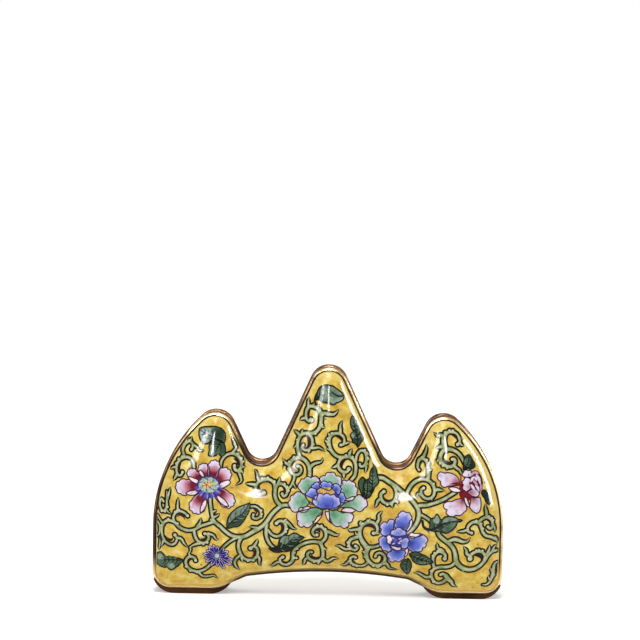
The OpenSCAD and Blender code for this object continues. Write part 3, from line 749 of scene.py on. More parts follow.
def scrolls_of_right_foot(art):
    """Scrolls round the right foot and along the right edge."""
    art.vine([(46.4, 30.9), (47.2, 28.8), (49.3, 26.9), (51.8, 25), (53.6, 22.6), (54.3, 20), (54.6, 17.8),
              (55.8, 15.9), (57.8, 14.5), (60.2, 13.9), (62.6, 14.3), (64.9, 15.6), (66.8, 17.6),
              (68.4, 19.9), (70.2, 21.3), (72.2, 21.6)], (1.3, 1.5, 1.5, 1.9, 1.7, 1.4, 1.3, 1))
    art.vine([(51.6, 26.4), (53.4, 27.1), (55.2, 26.9), (57, 26.2), (59, 26.3), (60.4, 27.9)],
             (1.2, 1.7, 1.1, 0.2))
    art.vine([(54.2, 17), (52.6, 15.5), (50.2, 14.9), (47.8, 14.8), (45.6, 14), (44.5, 12.3), (44.5, 10.2),
              (45.4, 8.2), (47.3, 7.1), (49.4, 7.8), (50.7, 9.3), (50.6, 10.9), (49.4, 11.7), (48.3, 11.3)],
             (1.2, 1.3, 1.2, 1.3, 1.2), bulb=0.5)
    art.vine([(50.6, 10.8), (51.6, 9.3), (53, 8), (53.8, 6.4), (55.6, 5.4)], (1.9, 1.9, 1.2, 0.2))
    art.vine([(44.4, 10.3), (42.4, 9.6), (40.6, 10.5), (39, 11.4), (37, 11.4)], (1.3, 1.1, 0.9, 0.15))
    art.vine([(45.5, 14.6), (44.9, 16.6), (44.9, 18.8), (45.8, 20.7), (47.3, 21.6), (49, 21.3), (50.1, 20),
              (49.8, 18.7)], (1.3, 1.2, 1.2, 1.2), bulb=0.8)
    art.crescent([(46.5, 19.6), (47.2, 20.6), (48.8, 20.5)], 0.7)
    art.thorn([(47.7, 22.2), (46.7, 23.6), (46.3, 25.6)], 0.9)
    art.thorn([(49, 22), (48, 22.9), (47, 23.2)], 0.9)
    art.vine([(66.8, 17.8), (67.1, 19.6), (66, 21.3), (64.3, 21.9), (62.4, 21.5), (60.9, 20.4),
              (60.6, 18.8)], (1.4, 1.2, 1.3, 1.6), bulb=1)
    art.crescent([(62.4, 20.1), (64, 20), (65.4, 19.2), (65.4, 17.6)], 0.8)
    art.vine([(60.5, 20), (59.2, 20.9), (58.8, 22.6), (57.6, 24.1)], (1.4, 1.2, 0.2))
    art.thorn([(68, 20.6), (68.8, 22.6), (68.9, 24.4)], 1.2)
    art.thorn([(58.2, 14.3), (57.8, 13.3), (57.8, 12.9)], 1.6)
    art.vine([(71.8, 26.4), (69.5, 27.7), (67.4, 28.4), (66, 29.8), (65.2, 31.8), (64.3, 33.8), (62.4, 34.6),
              (60.5, 34), (59.3, 32.4), (59.5, 30.6), (61, 29.9)], (1.2, 1.2, 1.3, 1.2, 1), bulb=0.6)
    art.vine([(59.3, 31.4), (57.8, 30.8), (56, 30.6), (54.6, 30.4)], (1.2, 0.9, 0.2))
    art.vine([(63.8, 34.4), (65.4, 35.8), (67.4, 36.4), (69.2, 35.4), (70, 33.6), (69.8, 31.8), (68.7, 31.4),
              (68, 32.2)], (1.3, 1.2, 1.2, 1), bulb=0.6)
    art.crescent([(67.2, 35.2), (68.6, 34.5), (69, 33)], 0.6)
    art.thorn([(70, 33.4), (71, 31.4), (71.2, 29.6)], 0.9)
    art.vine([(67.4, 36.6), (67.2, 38.4), (66.8, 40), (66.6, 42)], (1.3, 1, 0.2))
    art.vine([(71.4, 27.2), (72, 26.2), (72.4, 24.8)], (1, 0.6, 0.3))
    art.thorn([(70.2, 21.6), (71.2, 23.4), (72.2, 24.2)], 0.9)
    art.vine([(66.4, 6.8), (68.2, 6.9), (69.5, 8.2), (70.2, 10), (71.2, 11)], (0.4, 1, 1.3, 1.2))
    art.vine([(70.4, 10.4), (70.9, 12.4), (71, 14.4), (71.6, 16), (72.7, 16.5)], (1.6, 1.5, 1.3, 0.5))
    art.thorn([(70.8, 12.6), (70, 13.2), (69.6, 14.4)], 0.9)
    art.thorn([(69.6, 9), (69, 9.8), (68.9, 10.8)], 0.8)
    art.crescent([(72.6, 15.2), (72.1, 13.4), (72.6, 11.6)], 0.8)


def leaf(art, outline, heart, stops, bulge=0.07):
    """Leaf with a dark contour."""
    coat = art.coat("leaves")
    path = scalloped(outline, bulge)
    coat.blot(path, heart, stops, LEAF_LIFT)
    coat.ribbon(path, np.full(len(path), LEAF_LINE_W), LINE_DARK, LEAF_LINE_LIFT, closed=True)


def leaf_half(art, outline, heart, stops, bulge=0.1):
    """Lighter part of a leaf, without a contour."""
    art.coat("leaves").blot(scalloped(outline, bulge), heart, stops, LEAF_HALF_LIFT)


def leaf_rib(art, points, widths=(0.5, 0.3), reach=0):
    """Dark rib of a leaf, with pairs of veins of a given reach that sweep towards its tip."""
    path = smooth_path(points)
    coat = art.coat("leaves")
    coat.ribbon(path, spread(widths, path), LINE_DARK, RIB_LIFT)
    if not reach:
        return
    side = path_sides(path)
    along = np.gradient(path, axis=0)
    along /= np.linalg.norm(along, axis=1)[:, None]
    for share in VEIN_PLACES:
        k = int(share * (len(path) - 1))
        length = reach * (1 - abs(share - VEIN_PLACES[1]))
        for way in (1, -1):
            middle = path[k] + (side[k] * way * 0.55 + along[k] * 0.35) * length
            tip = path[k] + (side[k] * way * 0.95 + along[k] * 0.95) * length
            vein = smooth_path([path[k], middle, tip])
            coat.ribbon(vein, spread((0.3, 0.24, 0.12), vein), LINE_DARK, VEIN_LIFT)
            shift = along[k] * reach * 0.26
            gleam = smooth_path([path[k] + shift, middle + shift, tip + shift * 0.7])
            coat.ribbon(gleam, spread((0.12, 0.5, 0.15), gleam), LEAF_GLEAM, LEAF_LINE_LIFT)


def paint_leaves(art):
    """All leaves of a face."""
    pale = [LEAF_PALE, LEAF_PALE]
    soft = mixed(LEAF_MID, LEAF_PALE, 0.55)
    # Top of the middle peak
    leaf(art, [(-6.8, 84.8), (-5.6, 88.2), (-4.5, 90.5), (-2.4, 91.6, 0.02), (0.9, 91.2, 0.02),
               (5.9, 87.2, 0.03), (5.4, 85.4), (4, 84.6), (2.6, 84.2), (1.4, 83.3), (-0.6, 84.3), (-3, 84.3),
               (-4.8, 85.5, 0.02)], (-4.6, 87), [LEAF_DARK, LEAF_MID, soft, soft])
    # Pale vertical band down the leaf's left part: a painted highlight.
    leaf_half(art, [(-3.2, 84.9), (-3.4, 88), (-2.9, 91.2), (-1.5, 91.2), (-1.3, 88), (-1.4, 84.9)],
              (-2.4, 88), [LEAF_PALE, soft])
    leaf_half(art, [(-0.6, 86.8), (2.2, 85.9), (5.6, 86.2), (4.6, 85.1), (2.4, 84.5), (0.2, 84.3)],
              (2, 85.4), pale)
    leaf_half(art, [(-0.4, 90.6), (1.2, 90.4), (4.8, 87.6), (2.6, 88.3), (0.6, 89.4)], (1.6, 89.2),
              [soft, LEAF_PALE])
    leaf_rib(art, [(0.6, 88.7), (2, 87.6), (3.8, 86.8), (5.7, 87)], (0.4, 0.6, 0.5))
    leaf_rib(art, [(-6.2, 85.4), (-4.6, 87), (-3.4, 88.4)], (0.5, 0.2), reach=1.8)
    leaf_rib(art, [(-6.8, 85), (-6.7, 84.2), (-6.5, 83.4)], (0.4, 0.4))
    # Right flank of the middle peak
    leaf(art, [(12.2, 65.6), (13.2, 67.2), (14.3, 68.6), (13, 71.4), (11.6, 74.6), (9.4, 78.6), (8.7, 75.6),
               (9.4, 73.2), (10.2, 72), (8.7, 70.6), (9.4, 69.2), (10, 67.6), (11.2, 66.8)], (11.6, 69.6),
         [LEAF_DARK, LEAF_MID, soft])
    leaf_half(art, [(8.9, 70.4), (9.6, 71.6), (10.7, 70.8), (10.4, 69.2), (9.5, 69.3)], (9.7, 70.4), pale)
    leaf_rib(art, [(12, 66.2), (11.8, 69), (11, 72.4), (9.6, 77.4)], reach=1.8)
    leaf_rib(art, [(9, 67.7), (10.6, 67), (11.6, 65.9), (12.3, 64.8)], (0.4, 0.4))
    # Right of the large flower
    leaf(art, [(15.3, 43.8), (17.6, 44.8), (18.6, 47.4), (17.9, 50.4), (17.3, 52.2), (15.4, 51.4),
               (14.8, 49.2), (14.6, 46.6)], (16.4, 48), [LEAF_MID, LEAF_MID, LEAF_DARK])
    leaf(art, [(18.2, 46), (19.4, 48.8), (21.2, 50.6), (20.6, 53), (19.3, 57.2), (18, 56), (17.3, 53.2),
               (17.5, 50), (17.4, 47)], (18.9, 51.6), [soft, LEAF_MID, LEAF_MID])
    leaf(art, [(14.8, 44.8), (15.2, 47.2), (14.6, 49.6), (15.4, 52), (14.2, 53), (12.5, 50.8), (13.2, 47.6)],
         (14, 49.6), [LEAF_MID, LEAF_MID, LEAF_DARK])
    leaf_rib(art, [(15.6, 44.2), (16.4, 47), (16.4, 51.2)], (0.6, 0.3), reach=1.6)
    leaf_rib(art, [(17.8, 46.4), (18.5, 50), (18.6, 56)], (0.5, 0.3), reach=1.6)
    # Left of the main stem
    leaf(art, [(-42.8, 30), (-42.4, 34.6), (-40, 37.7), (-35.4, 40.2), (-33.2, 40.8), (-33.6, 37.6),
               (-34.8, 35.2), (-36.4, 32.6), (-37.6, 31.2), (-40.2, 30.6)], (-39.6, 33.6),
         [LEAF_DARK, LEAF_MID, soft])
    leaf_half(art, [(-42, 32.6), (-41.2, 35.6), (-38.8, 38.3), (-34, 40.2), (-36.2, 37.2), (-39.4, 34.6)],
              (-39, 36.4), [soft, LEAF_PALE])
    leaf_rib(art, [(-42.8, 30), (-40, 33.9), (-36, 36.9), (-33.3, 41.4)], reach=2.4)
    # Above the arch
    leaf(art, [(-22.6, 19.8), (-25, 21.6), (-22, 21.2, 0), (-20.8, 23.4), (-20.4, 25.6), (-18.8, 27.4),
               (-16.4, 27.3), (-14.2, 28.6), (-11.8, 27.4), (-10, 26.7), (-12, 25.2), (-14.2, 22.6),
               (-15.8, 20.6), (-19, 20.1)], (-18, 23.6), [LEAF_DARK, LEAF_DARK, LEAF_MID])
    leaf_half(art, [(-20.2, 24.6), (-19, 26.9), (-16.4, 26.9), (-14.2, 28.1), (-12.2, 27.2), (-15.4, 25.6),
                    (-17.6, 23.4)], (-17, 26), [soft, LEAF_PALE])
    leaf_rib(art, [(-24.4, 20.9), (-21, 21), (-18.4, 22.4), (-16, 25), (-13.6, 26.8), (-9.4, 26.6)],
             (0.7, 0.4, 0.2), reach=2.6)
    # Left bottom corner
    leaf(art, [(-61, 15.5), (-64, 16.3), (-69, 16.3), (-71, 18.2), (-72.9, 17.4), (-72.9, 12.8), (-70, 11.7),
               (-68.3, 12), (-66.6, 10.8), (-64.4, 12.2), (-62.4, 14.3)], (-66.6, 14.2),
         [LEAF_MID, LEAF_MID, soft])
    leaf_half(art, [(-69.6, 15.6), (-71.4, 17.2), (-72.6, 16.4), (-72.4, 14.6), (-70.4, 14.6)],
              (-71.2, 15.6), pale)
    leaf_half(art, [(-68.4, 12.5), (-66.6, 11.3), (-64.8, 12.5), (-65.8, 14), (-67.8, 14)], (-66.4, 12.8),
              [LEAF_PALE, soft])
    leaf_rib(art, [(-61, 15.5), (-66.5, 15.4), (-72.6, 14.4)], reach=2)
    # Left peak
    leaf(art, [(-55.4, 71.6), (-52, 72.6), (-46.6, 72.3), (-44.4, 70), (-44.6, 66), (-47.4, 67.2),
               (-49.6, 68), (-51.4, 65.8), (-53.4, 65.6), (-55.3, 68)], (-49.4, 69.8),
         [LEAF_MID, soft, soft])
    leaf_half(art, [(-49.6, 71.8), (-45.6, 71.6), (-44.8, 69), (-45, 66.6), (-47.6, 67.6), (-49.2, 69)],
              (-47, 69.6), [LEAF_DARK, LEAF_MID])
    # Whitish left half of this leaf: a painted highlight.
    leaf_half(art, [(-55, 70.9), (-52.6, 71.9), (-50.4, 72), (-49.9, 69.2), (-51.6, 66.3), (-53.2, 66.2),
                    (-54.8, 68)], (-52.8, 69.2), [mixed(LEAF_PALE, PETAL_WHITE, 0.6), LEAF_PALE], bulge=0.04)
    leaf_rib(art, [(-46.2, 66.4), (-49.4, 68.4), (-52, 69.6), (-55, 70.9)], reach=2.2)
    leaf(art, [(-44.2, 61.4), (-44.2, 64.4), (-45.4, 66.6), (-48.6, 67.6), (-50.8, 65.6), (-50.8, 63),
               (-51.2, 60.8), (-49, 60.4), (-47, 61.8), (-45.6, 60.4)], (-47, 64.2),
         [LEAF_DARK, LEAF_MID, soft])
    leaf_half(art, [(-50.5, 65), (-50.5, 63), (-50.9, 61.2), (-49.2, 60.8), (-47.8, 62), (-48.6, 64.8)],
              (-49.6, 62.8), [LEAF_PALE, soft])
    leaf_rib(art, [(-46.2, 66.2), (-47.4, 64.2), (-48.6, 61.2)], reach=1.9)
    # Right of the blue flower
    leaf(art, [(43.4, 35.8), (45, 36.2), (46, 38), (47.4, 36), (48.2, 35.2), (49.4, 36.7), (52.4, 36.9),
               (55, 35.8), (57, 35.3), (54.8, 34.6), (53.2, 31.6), (50.2, 29.7), (47.4, 30.6), (43.4, 30.9),
               (43.2, 33.6)], (48, 33), [LEAF_DARK, LEAF_MID, soft], bulge=0.08)
    leaf_half(art, [(44.4, 35.2), (46, 37.4), (47.2, 35.6), (46.8, 34), (45.4, 34)], (46, 35.2), pale)
    leaf_half(art, [(48.4, 34.6), (49.7, 36.2), (52.2, 36.5), (54.6, 35.6), (51.6, 34.9)], (51.4, 35.7),
              [soft, LEAF_PALE])
    leaf_half(art, [(48.4, 31.4), (50.2, 30.3), (52.5, 31.8), (53.9, 34), (51, 33.3)], (51, 32),
              [LEAF_MID, soft])
    leaf_rib(art, [(40, 34.8), (40.4, 32.6), (42, 31.3), (44.6, 31.4), (48, 33.3), (52, 34.7), (57, 35.3)],
             (1.1, 1.2, 0.9, 0.5, 0.3), reach=1.7)
    art.vine([(38.6, 37.6), (40.6, 36.8), (42.6, 35.5), (43.6, 34.4)], (1.2, 1, 0.9))
    # Under the blue flower
    leaf(art, [(34.4, 18.2), (31.9, 16.6), (31.1, 14.8), (32.6, 12), (34.3, 10.4), (35.5, 13), (35.7, 16)],
         (33.4, 14.8), [LEAF_DARK, LEAF_MID, soft])
    leaf_rib(art, [(34.4, 18), (33.7, 15), (34.2, 10.6)], reach=1.4)
    leaf(art, [(34.8, 20.2), (37.4, 21.5), (40, 20.3), (43.2, 18.6), (45, 16.8), (42.4, 15.9), (39.6, 15.5),
               (37.2, 16.4), (35.8, 18.4)], (39.4, 18.4), [LEAF_DARK, LEAF_MID, LEAF_MID])
    leaf_half(art, [(38, 16.6), (40.4, 16.9), (42.6, 16.6), (40, 15.8)], (40, 16.4), [soft, soft])
    leaf_rib(art, [(34.8, 20), (38, 18.4), (41.4, 17.4), (45, 16.8)], reach=1.9)
    # Right peak and right edge
    leaf(art, [(57, 56.4), (57, 59.8), (57.2, 61.8), (59.2, 63), (60.6, 61), (62, 58), (60.4, 57),
               (58.6, 57.4)], (58.8, 59), [LEAF_DARK, LEAF_DARK, LEAF_MID])
    leaf_half(art, [(57.4, 58.6), (57.3, 60.8), (58.4, 61.6), (58.6, 59.6)], (57.9, 60.2), [soft, LEAF_MID])
    leaf_rib(art, [(57.2, 56.8), (58.6, 59.2), (59.4, 62.4)], (0.5, 0.2), reach=1.2)
    leaf(art, [(64.6, 47.6), (66.4, 47.9), (68.2, 45.2), (69.3, 42), (67.8, 41.8), (66.2, 44.6)],
         (66.8, 45.4), [LEAF_DARK, LEAF_DARK, LEAF_MID])


def petal(coat, order, outline, heart, stops, line=MAROON, bulge=0.3, rim_tint=PETAL_WHITE, line_w=0.52):
    """Petal with a thin contour. A higher order lies over a lower one."""
    path = scalloped(outline, bulge, PETAL_STEP)
    lift = COAT_LIFT + COAT_STEP * order
    coat.blot(path, heart, stops, lift, rim_tint)
    coat.ribbon(path, np.full(len(path), line_w), line, lift + COAT_STEP, closed=True)


def fold(coat, order, outline, heart, line=MAROON, bulge=0.3):
    """Turned-over edge of a petal, in pale pink."""
    petal(coat, order, outline, heart, [FOLD_PINK, FOLD_PINK], line, bulge)


def mark(coat, order, points, widths, colour):
    """Brush mark inside a flower."""
    path = smooth_path(points, MARK_STEP)
    coat.ribbon(path, spread(widths, path), colour, COAT_LIFT + COAT_STEP * order)


def dot(coat, order, centre, radius, colour, stretch=1.0):
    """Small round or oval mark."""
    coat.disc(circle(centre, radius, DOT_SIDES, stretch), centre, colour, COAT_LIFT + COAT_STEP * order)


def paint_large_flower(art):
    """Green and blue flower in the middle."""
    coat = art.coat("large_flower")
    green = [PETAL_GREEN, PETAL_MINT, PETAL_WHITE]
    mint = [PETAL_MINT, PETAL_MINT, PETAL_WHITE]
    petal(coat, 1, [(-4.2, 49), (-3.9, 51), (-1.5, 53.4), (0.4, 54.7), (3, 53.4), (5.4, 51.2), (5, 48.8, 0)],
          (0.6, 50.4), mint)
    petal(coat, 2, [(-10.4, 45.4, 0.1), (-11.9, 46.8), (-12.1, 50.6), (-10.5, 51.7), (-7.6, 52.3),
                    (-4, 51.8), (-4.2, 49.6, 0), (-8, 46.5, 0)], (-8.4, 48.4), green)
    petal(coat, 2, [(5.4, 50.8), (7.5, 51.2), (9.7, 51), (11.3, 49), (11.9, 46.4), (11, 44.6), (8.4, 44),
                    (6.2, 44.4, 0), (4.8, 47.4, 0)], (7.4, 46.6), green)
    petal(coat, 3, [(-9.4, 43.8, 0.1), (-10.9, 45.4), (-14.8, 44.9), (-16.1, 42.8), (-16.1, 39.5),
                    (-12.7, 37.9, 0.05), (-9.6, 39.9, 0), (-8, 41.6, 0)], (-10.2, 42), green)
    fold(coat, 4, [(-12.6, 37.8), (-10.6, 39.6, 0.1), (-7.4, 39.9, 0), (-9, 37.9, 0.1)], (-9.8, 38.9))
    petal(coat, 4, [(-6.6, 32.4, 0.1), (-3.4, 35.1, 0.1), (-2.3, 38.4, 0), (-4.8, 35.9, 0)], (-4, 35.4),
          [FOLD_PEACH, FOLD_PEACH], rim_tint=FOLD_PEACH)
    fold(coat, 4, [(-1.4, 38, 0), (-0.8, 35.8, 0.1), (1.9, 32.8, 0), (0.6, 35.8, 0), (0.4, 38, 0)],
         (-0.1, 36.4))
    petal(coat, 5, [(-7, 39.5, 0), (-12.9, 37.6, 0.12), (-13.2, 35), (-12.5, 33.9), (-12.3, 31.7),
                    (-10.2, 31.7), (-7.1, 32), (-6.6, 33.6, 0.15), (-4.9, 35.7, 0.15), (-2.3, 38.2, 0),
                    (-4, 39.6, 0)], (-5.8, 37.8), green)
    petal(coat, 5, [(0.4, 38.6, 0), (0.7, 36.4, 0.2), (2, 32.9, 0.2), (5.4, 32), (8.3, 31.7), (8.4, 33.6),
                    (10.4, 35), (9.7, 37.6, 0.1), (6.2, 37.6, 0), (3, 39, 0)], (2.6, 37.2),
          green)
    petal(coat, 6, [(4.2, 40, 0), (7.6, 42.2, 0), (10.4, 43.2, 0.1), (11.6, 44.9), (14.5, 44.5),
                    (16.2, 42.8), (15.2, 39.9), (11.6, 39, 0.1), (9.9, 40, 0.05), (7, 40, 0)], (7.2, 41),
          green)
    fold(coat, 7, [(5.4, 38.5, 0.1), (7.4, 39.9, 0.1), (11.6, 38.9, 0.1), (9.8, 37.8, 0.05)], (8.4, 38.8))
    fold(coat, 7, [(6.6, 43.1, 0.1), (8.6, 44, 0.1), (11.5, 44.7, 0), (10.2, 43.1, 0.05)], (9.2, 43.6))
    blue = [PETAL_NAVY, PETAL_BLUE, mixed(PETAL_BLUE, PETAL_WHITE, 0.7)]
    dot(coat, 6, (-0.9, 45), 5.6, PETAL_NAVY, 0.8)
    petal(coat, 8, [(-7, 47.8), (-6.5, 49.6), (-3.7, 50), (-3.6, 48.2, 0), (-5.4, 47)], (-4.8, 48), blue,
          NAVY_LINE)
    petal(coat, 8, [(-3.7, 48.4), (-3.3, 50.2), (-0.6, 50.5), (1.4, 49.9), (1.3, 48), (-1.2, 47.6, 0)],
          (-1, 48.4), blue, NAVY_LINE)
    petal(coat, 8, [(1.3, 48.2), (1.7, 49.6), (4.7, 48.9), (4.9, 47), (3.8, 45.6, 0)], (3, 47.4), blue,
          NAVY_LINE)
    petal(coat, 8, [(4.1, 44.6, 0), (5, 46.3), (6.8, 44.8), (6.9, 42.8), (5.4, 42.1, 0)], (5.2, 43.6), blue,
          NAVY_LINE)
    dot(coat, 9, (-1, 46.7), 3.7, OCHRE, 0.48)
    seeds = ((-3.8, 46.8), (-2.9, 47.6), (-2.6, 46.3), (-1.6, 47.3), (-0.6, 47.8), (-0.8, 46.6), (0.3, 47.3),
             (1, 46.5), (1.5, 47.1), (-1.7, 46))
    for x, z in seeds:
        dot(coat, 10, (x, z), 0.22, SEED_BROWN)
    petal(coat, 11, [(-5.2, 42.8, 0), (-9.8, 45, 0.15), (-8.6, 46.8), (-6.4, 48, 0.25), (-5.3, 46.2),
                     (-4.8, 44.4, 0)], (-6.2, 44), blue, NAVY_LINE)
    petal(coat, 12, [(-6.2, 41.2), (-6, 43.6), (-5, 45), (-2.1, 45.1), (0.8, 45.1), (3.3, 44.4), (4.8, 42.6),
                     (4.2, 40.6, 0.15), (1.8, 39.7, 0.1), (-1, 39.4, 0.1), (-4.4, 40, 0.15)], (-0.2, 40.4),
          blue, NAVY_LINE)
    mark(coat, 14, [(-4.6, 40.6), (-4.2, 42), (-5.2, 43.4)], (0.3, 0.2), NAVY_LINE)
    mark(coat, 14, [(1.4, 40.4), (2.2, 42), (1.4, 43.6)], (0.3, 0.2), NAVY_LINE)
    mark(coat, 13, [(-10, 44.2), (-8.8, 42.8), (-7.4, 41.8), (-6.4, 40.8)], (0.2, 0.6, 0.5), CALYX_GREEN)
    mark(coat, 13, [(-8.4, 41.6), (-7.4, 40.9), (-6.9, 41.6), (-7.6, 42)], (0.3, 0.3), CALYX_GREEN)
    mark(coat, 13, [(-6.8, 39.8), (-4.8, 39.6), (-2.6, 38.9), (-1, 39)], (0.5, 0.7, 0.5), CALYX_GREEN)
    mark(coat, 13, [(0, 39), (2, 38.6), (4, 39.2), (5.4, 40.6), (6.6, 41.6)], (0.6, 0.7, 0.5), CALYX_GREEN)


def paint_blue_flower(art):
    """Blue flower right of the arch's crown."""
    coat = art.coat("blue_flower")
    blue = [PETAL_NAVY, PETAL_BLUE, mixed(PETAL_BLUE, PETAL_WHITE, 0.75)]
    fold(coat, 1, [(34.2, 28.2), (36.8, 29.4, 0.1), (40.3, 28.8, 0), (37.6, 27.7, 0)], (36.8, 28.4),
         BLUE_LINE)
    fold(coat, 1, [(35.4, 35.8, 0.15), (34.9, 31.6, 0.1), (33.2, 30, 0), (33.8, 33.2, 0)], (34.4, 33),
         BLUE_LINE)
    fold(coat, 1, [(32.5, 18.9, 0.15), (34.2, 20.9, 0.1), (34, 23.2, 0), (32.4, 21.6, 0)], (33.2, 21),
         BLUE_LINE)
    petal(coat, 2, [(34.2, 27.6, 0), (36.4, 27, 0.1), (38.4, 28.1), (41.4, 28.2), (41.7, 25.2), (40.3, 23.2),
                    (38.6, 21.5), (35.6, 21.8, 0.15), (33.8, 23.4, 0)], (35.2, 25), blue, BLUE_LINE)
    petal(coat, 2, [(29.4, 30.6, 0), (28, 32.4, 0.15), (28.6, 35.1), (29.9, 36.3), (30.2, 38), (33, 38.2),
                    (34.9, 37.3), (34.6, 34.8, 0.1), (33.8, 31.8, 0.1), (32.6, 30.4, 0)], (31.4, 31.8), blue,
          BLUE_LINE)
    petal(coat, 3, [(27.6, 30.6, 0), (28.1, 33.2), (27.7, 35.1), (25.1, 33.6), (22.8, 33.4), (22.8, 30.8),
                    (23.6, 28.2), (26, 28.4, 0)], (26.6, 30.4), blue, BLUE_LINE)
    petal(coat, 3, [(25.4, 28, 0.1), (23, 27.8), (22, 25), (22.8, 23.2), (24.8, 21.6), (27.2, 21.6, 0),
                    (26, 24.6, 0)], (25.4, 25.2), blue, BLUE_LINE)
    petal(coat, 3, [(27.4, 22, 0), (25.8, 20.8), (26.4, 18), (26.8, 16.5), (28.8, 17.2), (31.6, 17.4),
                    (32.5, 19.6), (32.4, 22, 0)], (29.8, 21.4), blue, BLUE_LINE)
    dot(coat, 5, (29.9, 26.6), 4.6, BLUE_DEEP, 1.02)
    petal(coat, 7, [(26.7, 28.7), (28.4, 30.9), (31.6, 30.9), (33, 28.6, 0), (29.9, 27.9, 0.05)], (30, 28.6),
          [PETAL_BLUE, mixed(PETAL_BLUE, PETAL_WHITE, 0.55)], BLUE_LINE)
    petal(coat, 7, [(33.4, 27.6), (34, 25), (32.4, 22.7), (31.2, 24.2, 0.15), (31.6, 26.8, 0.1)], (32.2, 25),
          [PETAL_BLUE, mixed(PETAL_BLUE, PETAL_WHITE, 0.6)], BLUE_LINE)
    fold(coat, 7, [(25.5, 28.4), (27, 27.6), (27, 25.6), (26.2, 24.5), (25.3, 26.4)], (26.4, 26.6),
         BLUE_LINE)
    petal(coat, 8, [(26.6, 24.4, 0.15), (28, 22.4, 0.2), (31.3, 22.3, 0), (31, 23.4, -0.1),
                    (28.6, 23.6, -0.1)], (29, 22.9), [FOLD_PINK, mixed(PETAL_BLUE, PETAL_WHITE, 0.7)],
          BLUE_LINE)
    dot(coat, 9, (28.7, 26.2), 1.1, PETAL_NAVY)
    dot(coat, 10, (28.7, 26.3), 0.6, BLUE_HEART)
    pale = mixed(PETAL_BLUE, PETAL_WHITE, 0.8)
    strokes = ((30.6, 27, 0.5), (30.3, 25, -0.4), (28, 24.8, 0.6), (27.6, 27.2, -0.5), (30.9, 25.9, 1.4))
    for x, z, turn in strokes:
        mark(coat, 9, [(x - 0.6, z - turn * 0.5), (x, z), (x + 0.6, z + turn * 0.5)], (0.2, 0.6, 0.2), pale)


def lobed_petal(coat, order, base, tip, width, stops):
    """Petal that widens from its base to three round lobes at its tip."""
    base = np.array(base, float)
    run = np.array(tip, float) - base
    side = np.array([-run[1], run[0]]) / np.linalg.norm(run) * width / 2
    places = ((0, 0.35, 0.12), (0.55, 0.95, 0.22), (0.86, 0.8, 0.3), (1, 0.28, 0.3), (1, -0.28, 0.3),
              (0.86, -0.8, 0.22), (0.55, -0.95, 0.12), (0, -0.35, 0))
    outline = [(*(base + run * along + side * across), bulge) for along, across, bulge in places]
    petal(coat, order, outline, base + run * 0.22, stops)


def speckle(coat, order, centre, count, reach, flat, radius, shades):
    """Mottled disc: small dots in turning shades, set out from the centre like the seeds of a sunflower."""
    golden_turn = math.radians(137.5)
    for k in range(count):
        away = reach * math.sqrt((k + 0.5) / count)
        place = centre + away * np.array((math.cos(k * golden_turn), flat * math.sin(k * golden_turn)))
        dot(coat, order + k % 3, place, radius, shades[(k * k + k // 3) % len(shades)])


def paint_red_flower(art):
    """Red and pink flower on the left."""
    coat = art.coat("red_flower")
    stops = [PETAL_RED, PETAL_RED, PETAL_PINK, PETAL_WHITE, PETAL_WHITE]
    petals = (((-51.9, 50.5), (-53.6, 57.1), 4.8), ((-49.6, 50.5), (-48.3, 58.6), 4.9),
              ((-48.2, 49.6), (-42.3, 54.4), 6), ((-48, 46.6), (-40.6, 40), 6.2),
              ((-53, 44.4), (-56.9, 36.6), 6.8), ((-54.2, 48), (-64.7, 46.5), 6.4),
              ((-54, 50.2), (-59.7, 54), 4.4))
    for order, (base, tip, width) in enumerate(petals):
        lobed_petal(coat, 1 + order % 2, base, tip, width, stops)
    folds = (((-60.6, 44.4), (-57.4, 43.8), (-54.6, 45.6), (-57.6, 45.8)),
             ((-51.8, 42.4), (-52.2, 38.4), (-54.2, 36.4), (-53.6, 40)),
             ((-46, 47), (-41.6, 49.4), (-42.4, 50.6), (-46.4, 48.8)),
             ((-47.6, 44.2), (-44.6, 40), (-42.2, 39.4), (-45.4, 43.2)),
             ((-59.8, 51.4), (-56.2, 48.8), (-54.4, 49.4), (-57, 51)),
             ((-55.2, 53.8), (-53.2, 51.4), (-52.8, 52.4), (-54.4, 54.6)))
    for outline in folds:
        fold(coat, 4, outline, np.mean(outline, axis=0), bulge=0.1)
    ring = np.array((-50.9, 48))
    dot(coat, 6, (ring[0], ring[1] - 0.4), 5.2, STAMEN_NAVY, 0.95)
    for k in range(29):
        angle = math.radians(-178 + k * 6.4)
        away = np.array((math.cos(angle), math.sin(angle) * 0.95))
        reach = 5.9 if k % 3 else 5.2
        shade = STAMEN_SHADES[k * 3 % 5]
        mark(coat, 7 + k % 2, [ring + away * 3.6, ring + away * 4.8, ring + away * reach], (0.5, 0.7, 0.3),
             shade)
    dot(coat, 9, (ring[0], ring[1] + 0.4), 4.3, CORE_GREEN, 0.78)
    speckle(coat, 10, ring + (0, 0.4), 70, 4.1, 0.76, 0.38, CORE_MOTTLE)
    dot(coat, 13, ring + (-0.3, 0.5), 2.1, OCHRE, 0.62)
    speckle(coat, 14, ring + (-0.3, 0.5), 34, 2.1, 0.62, 0.34, HEART_MOTTLE)


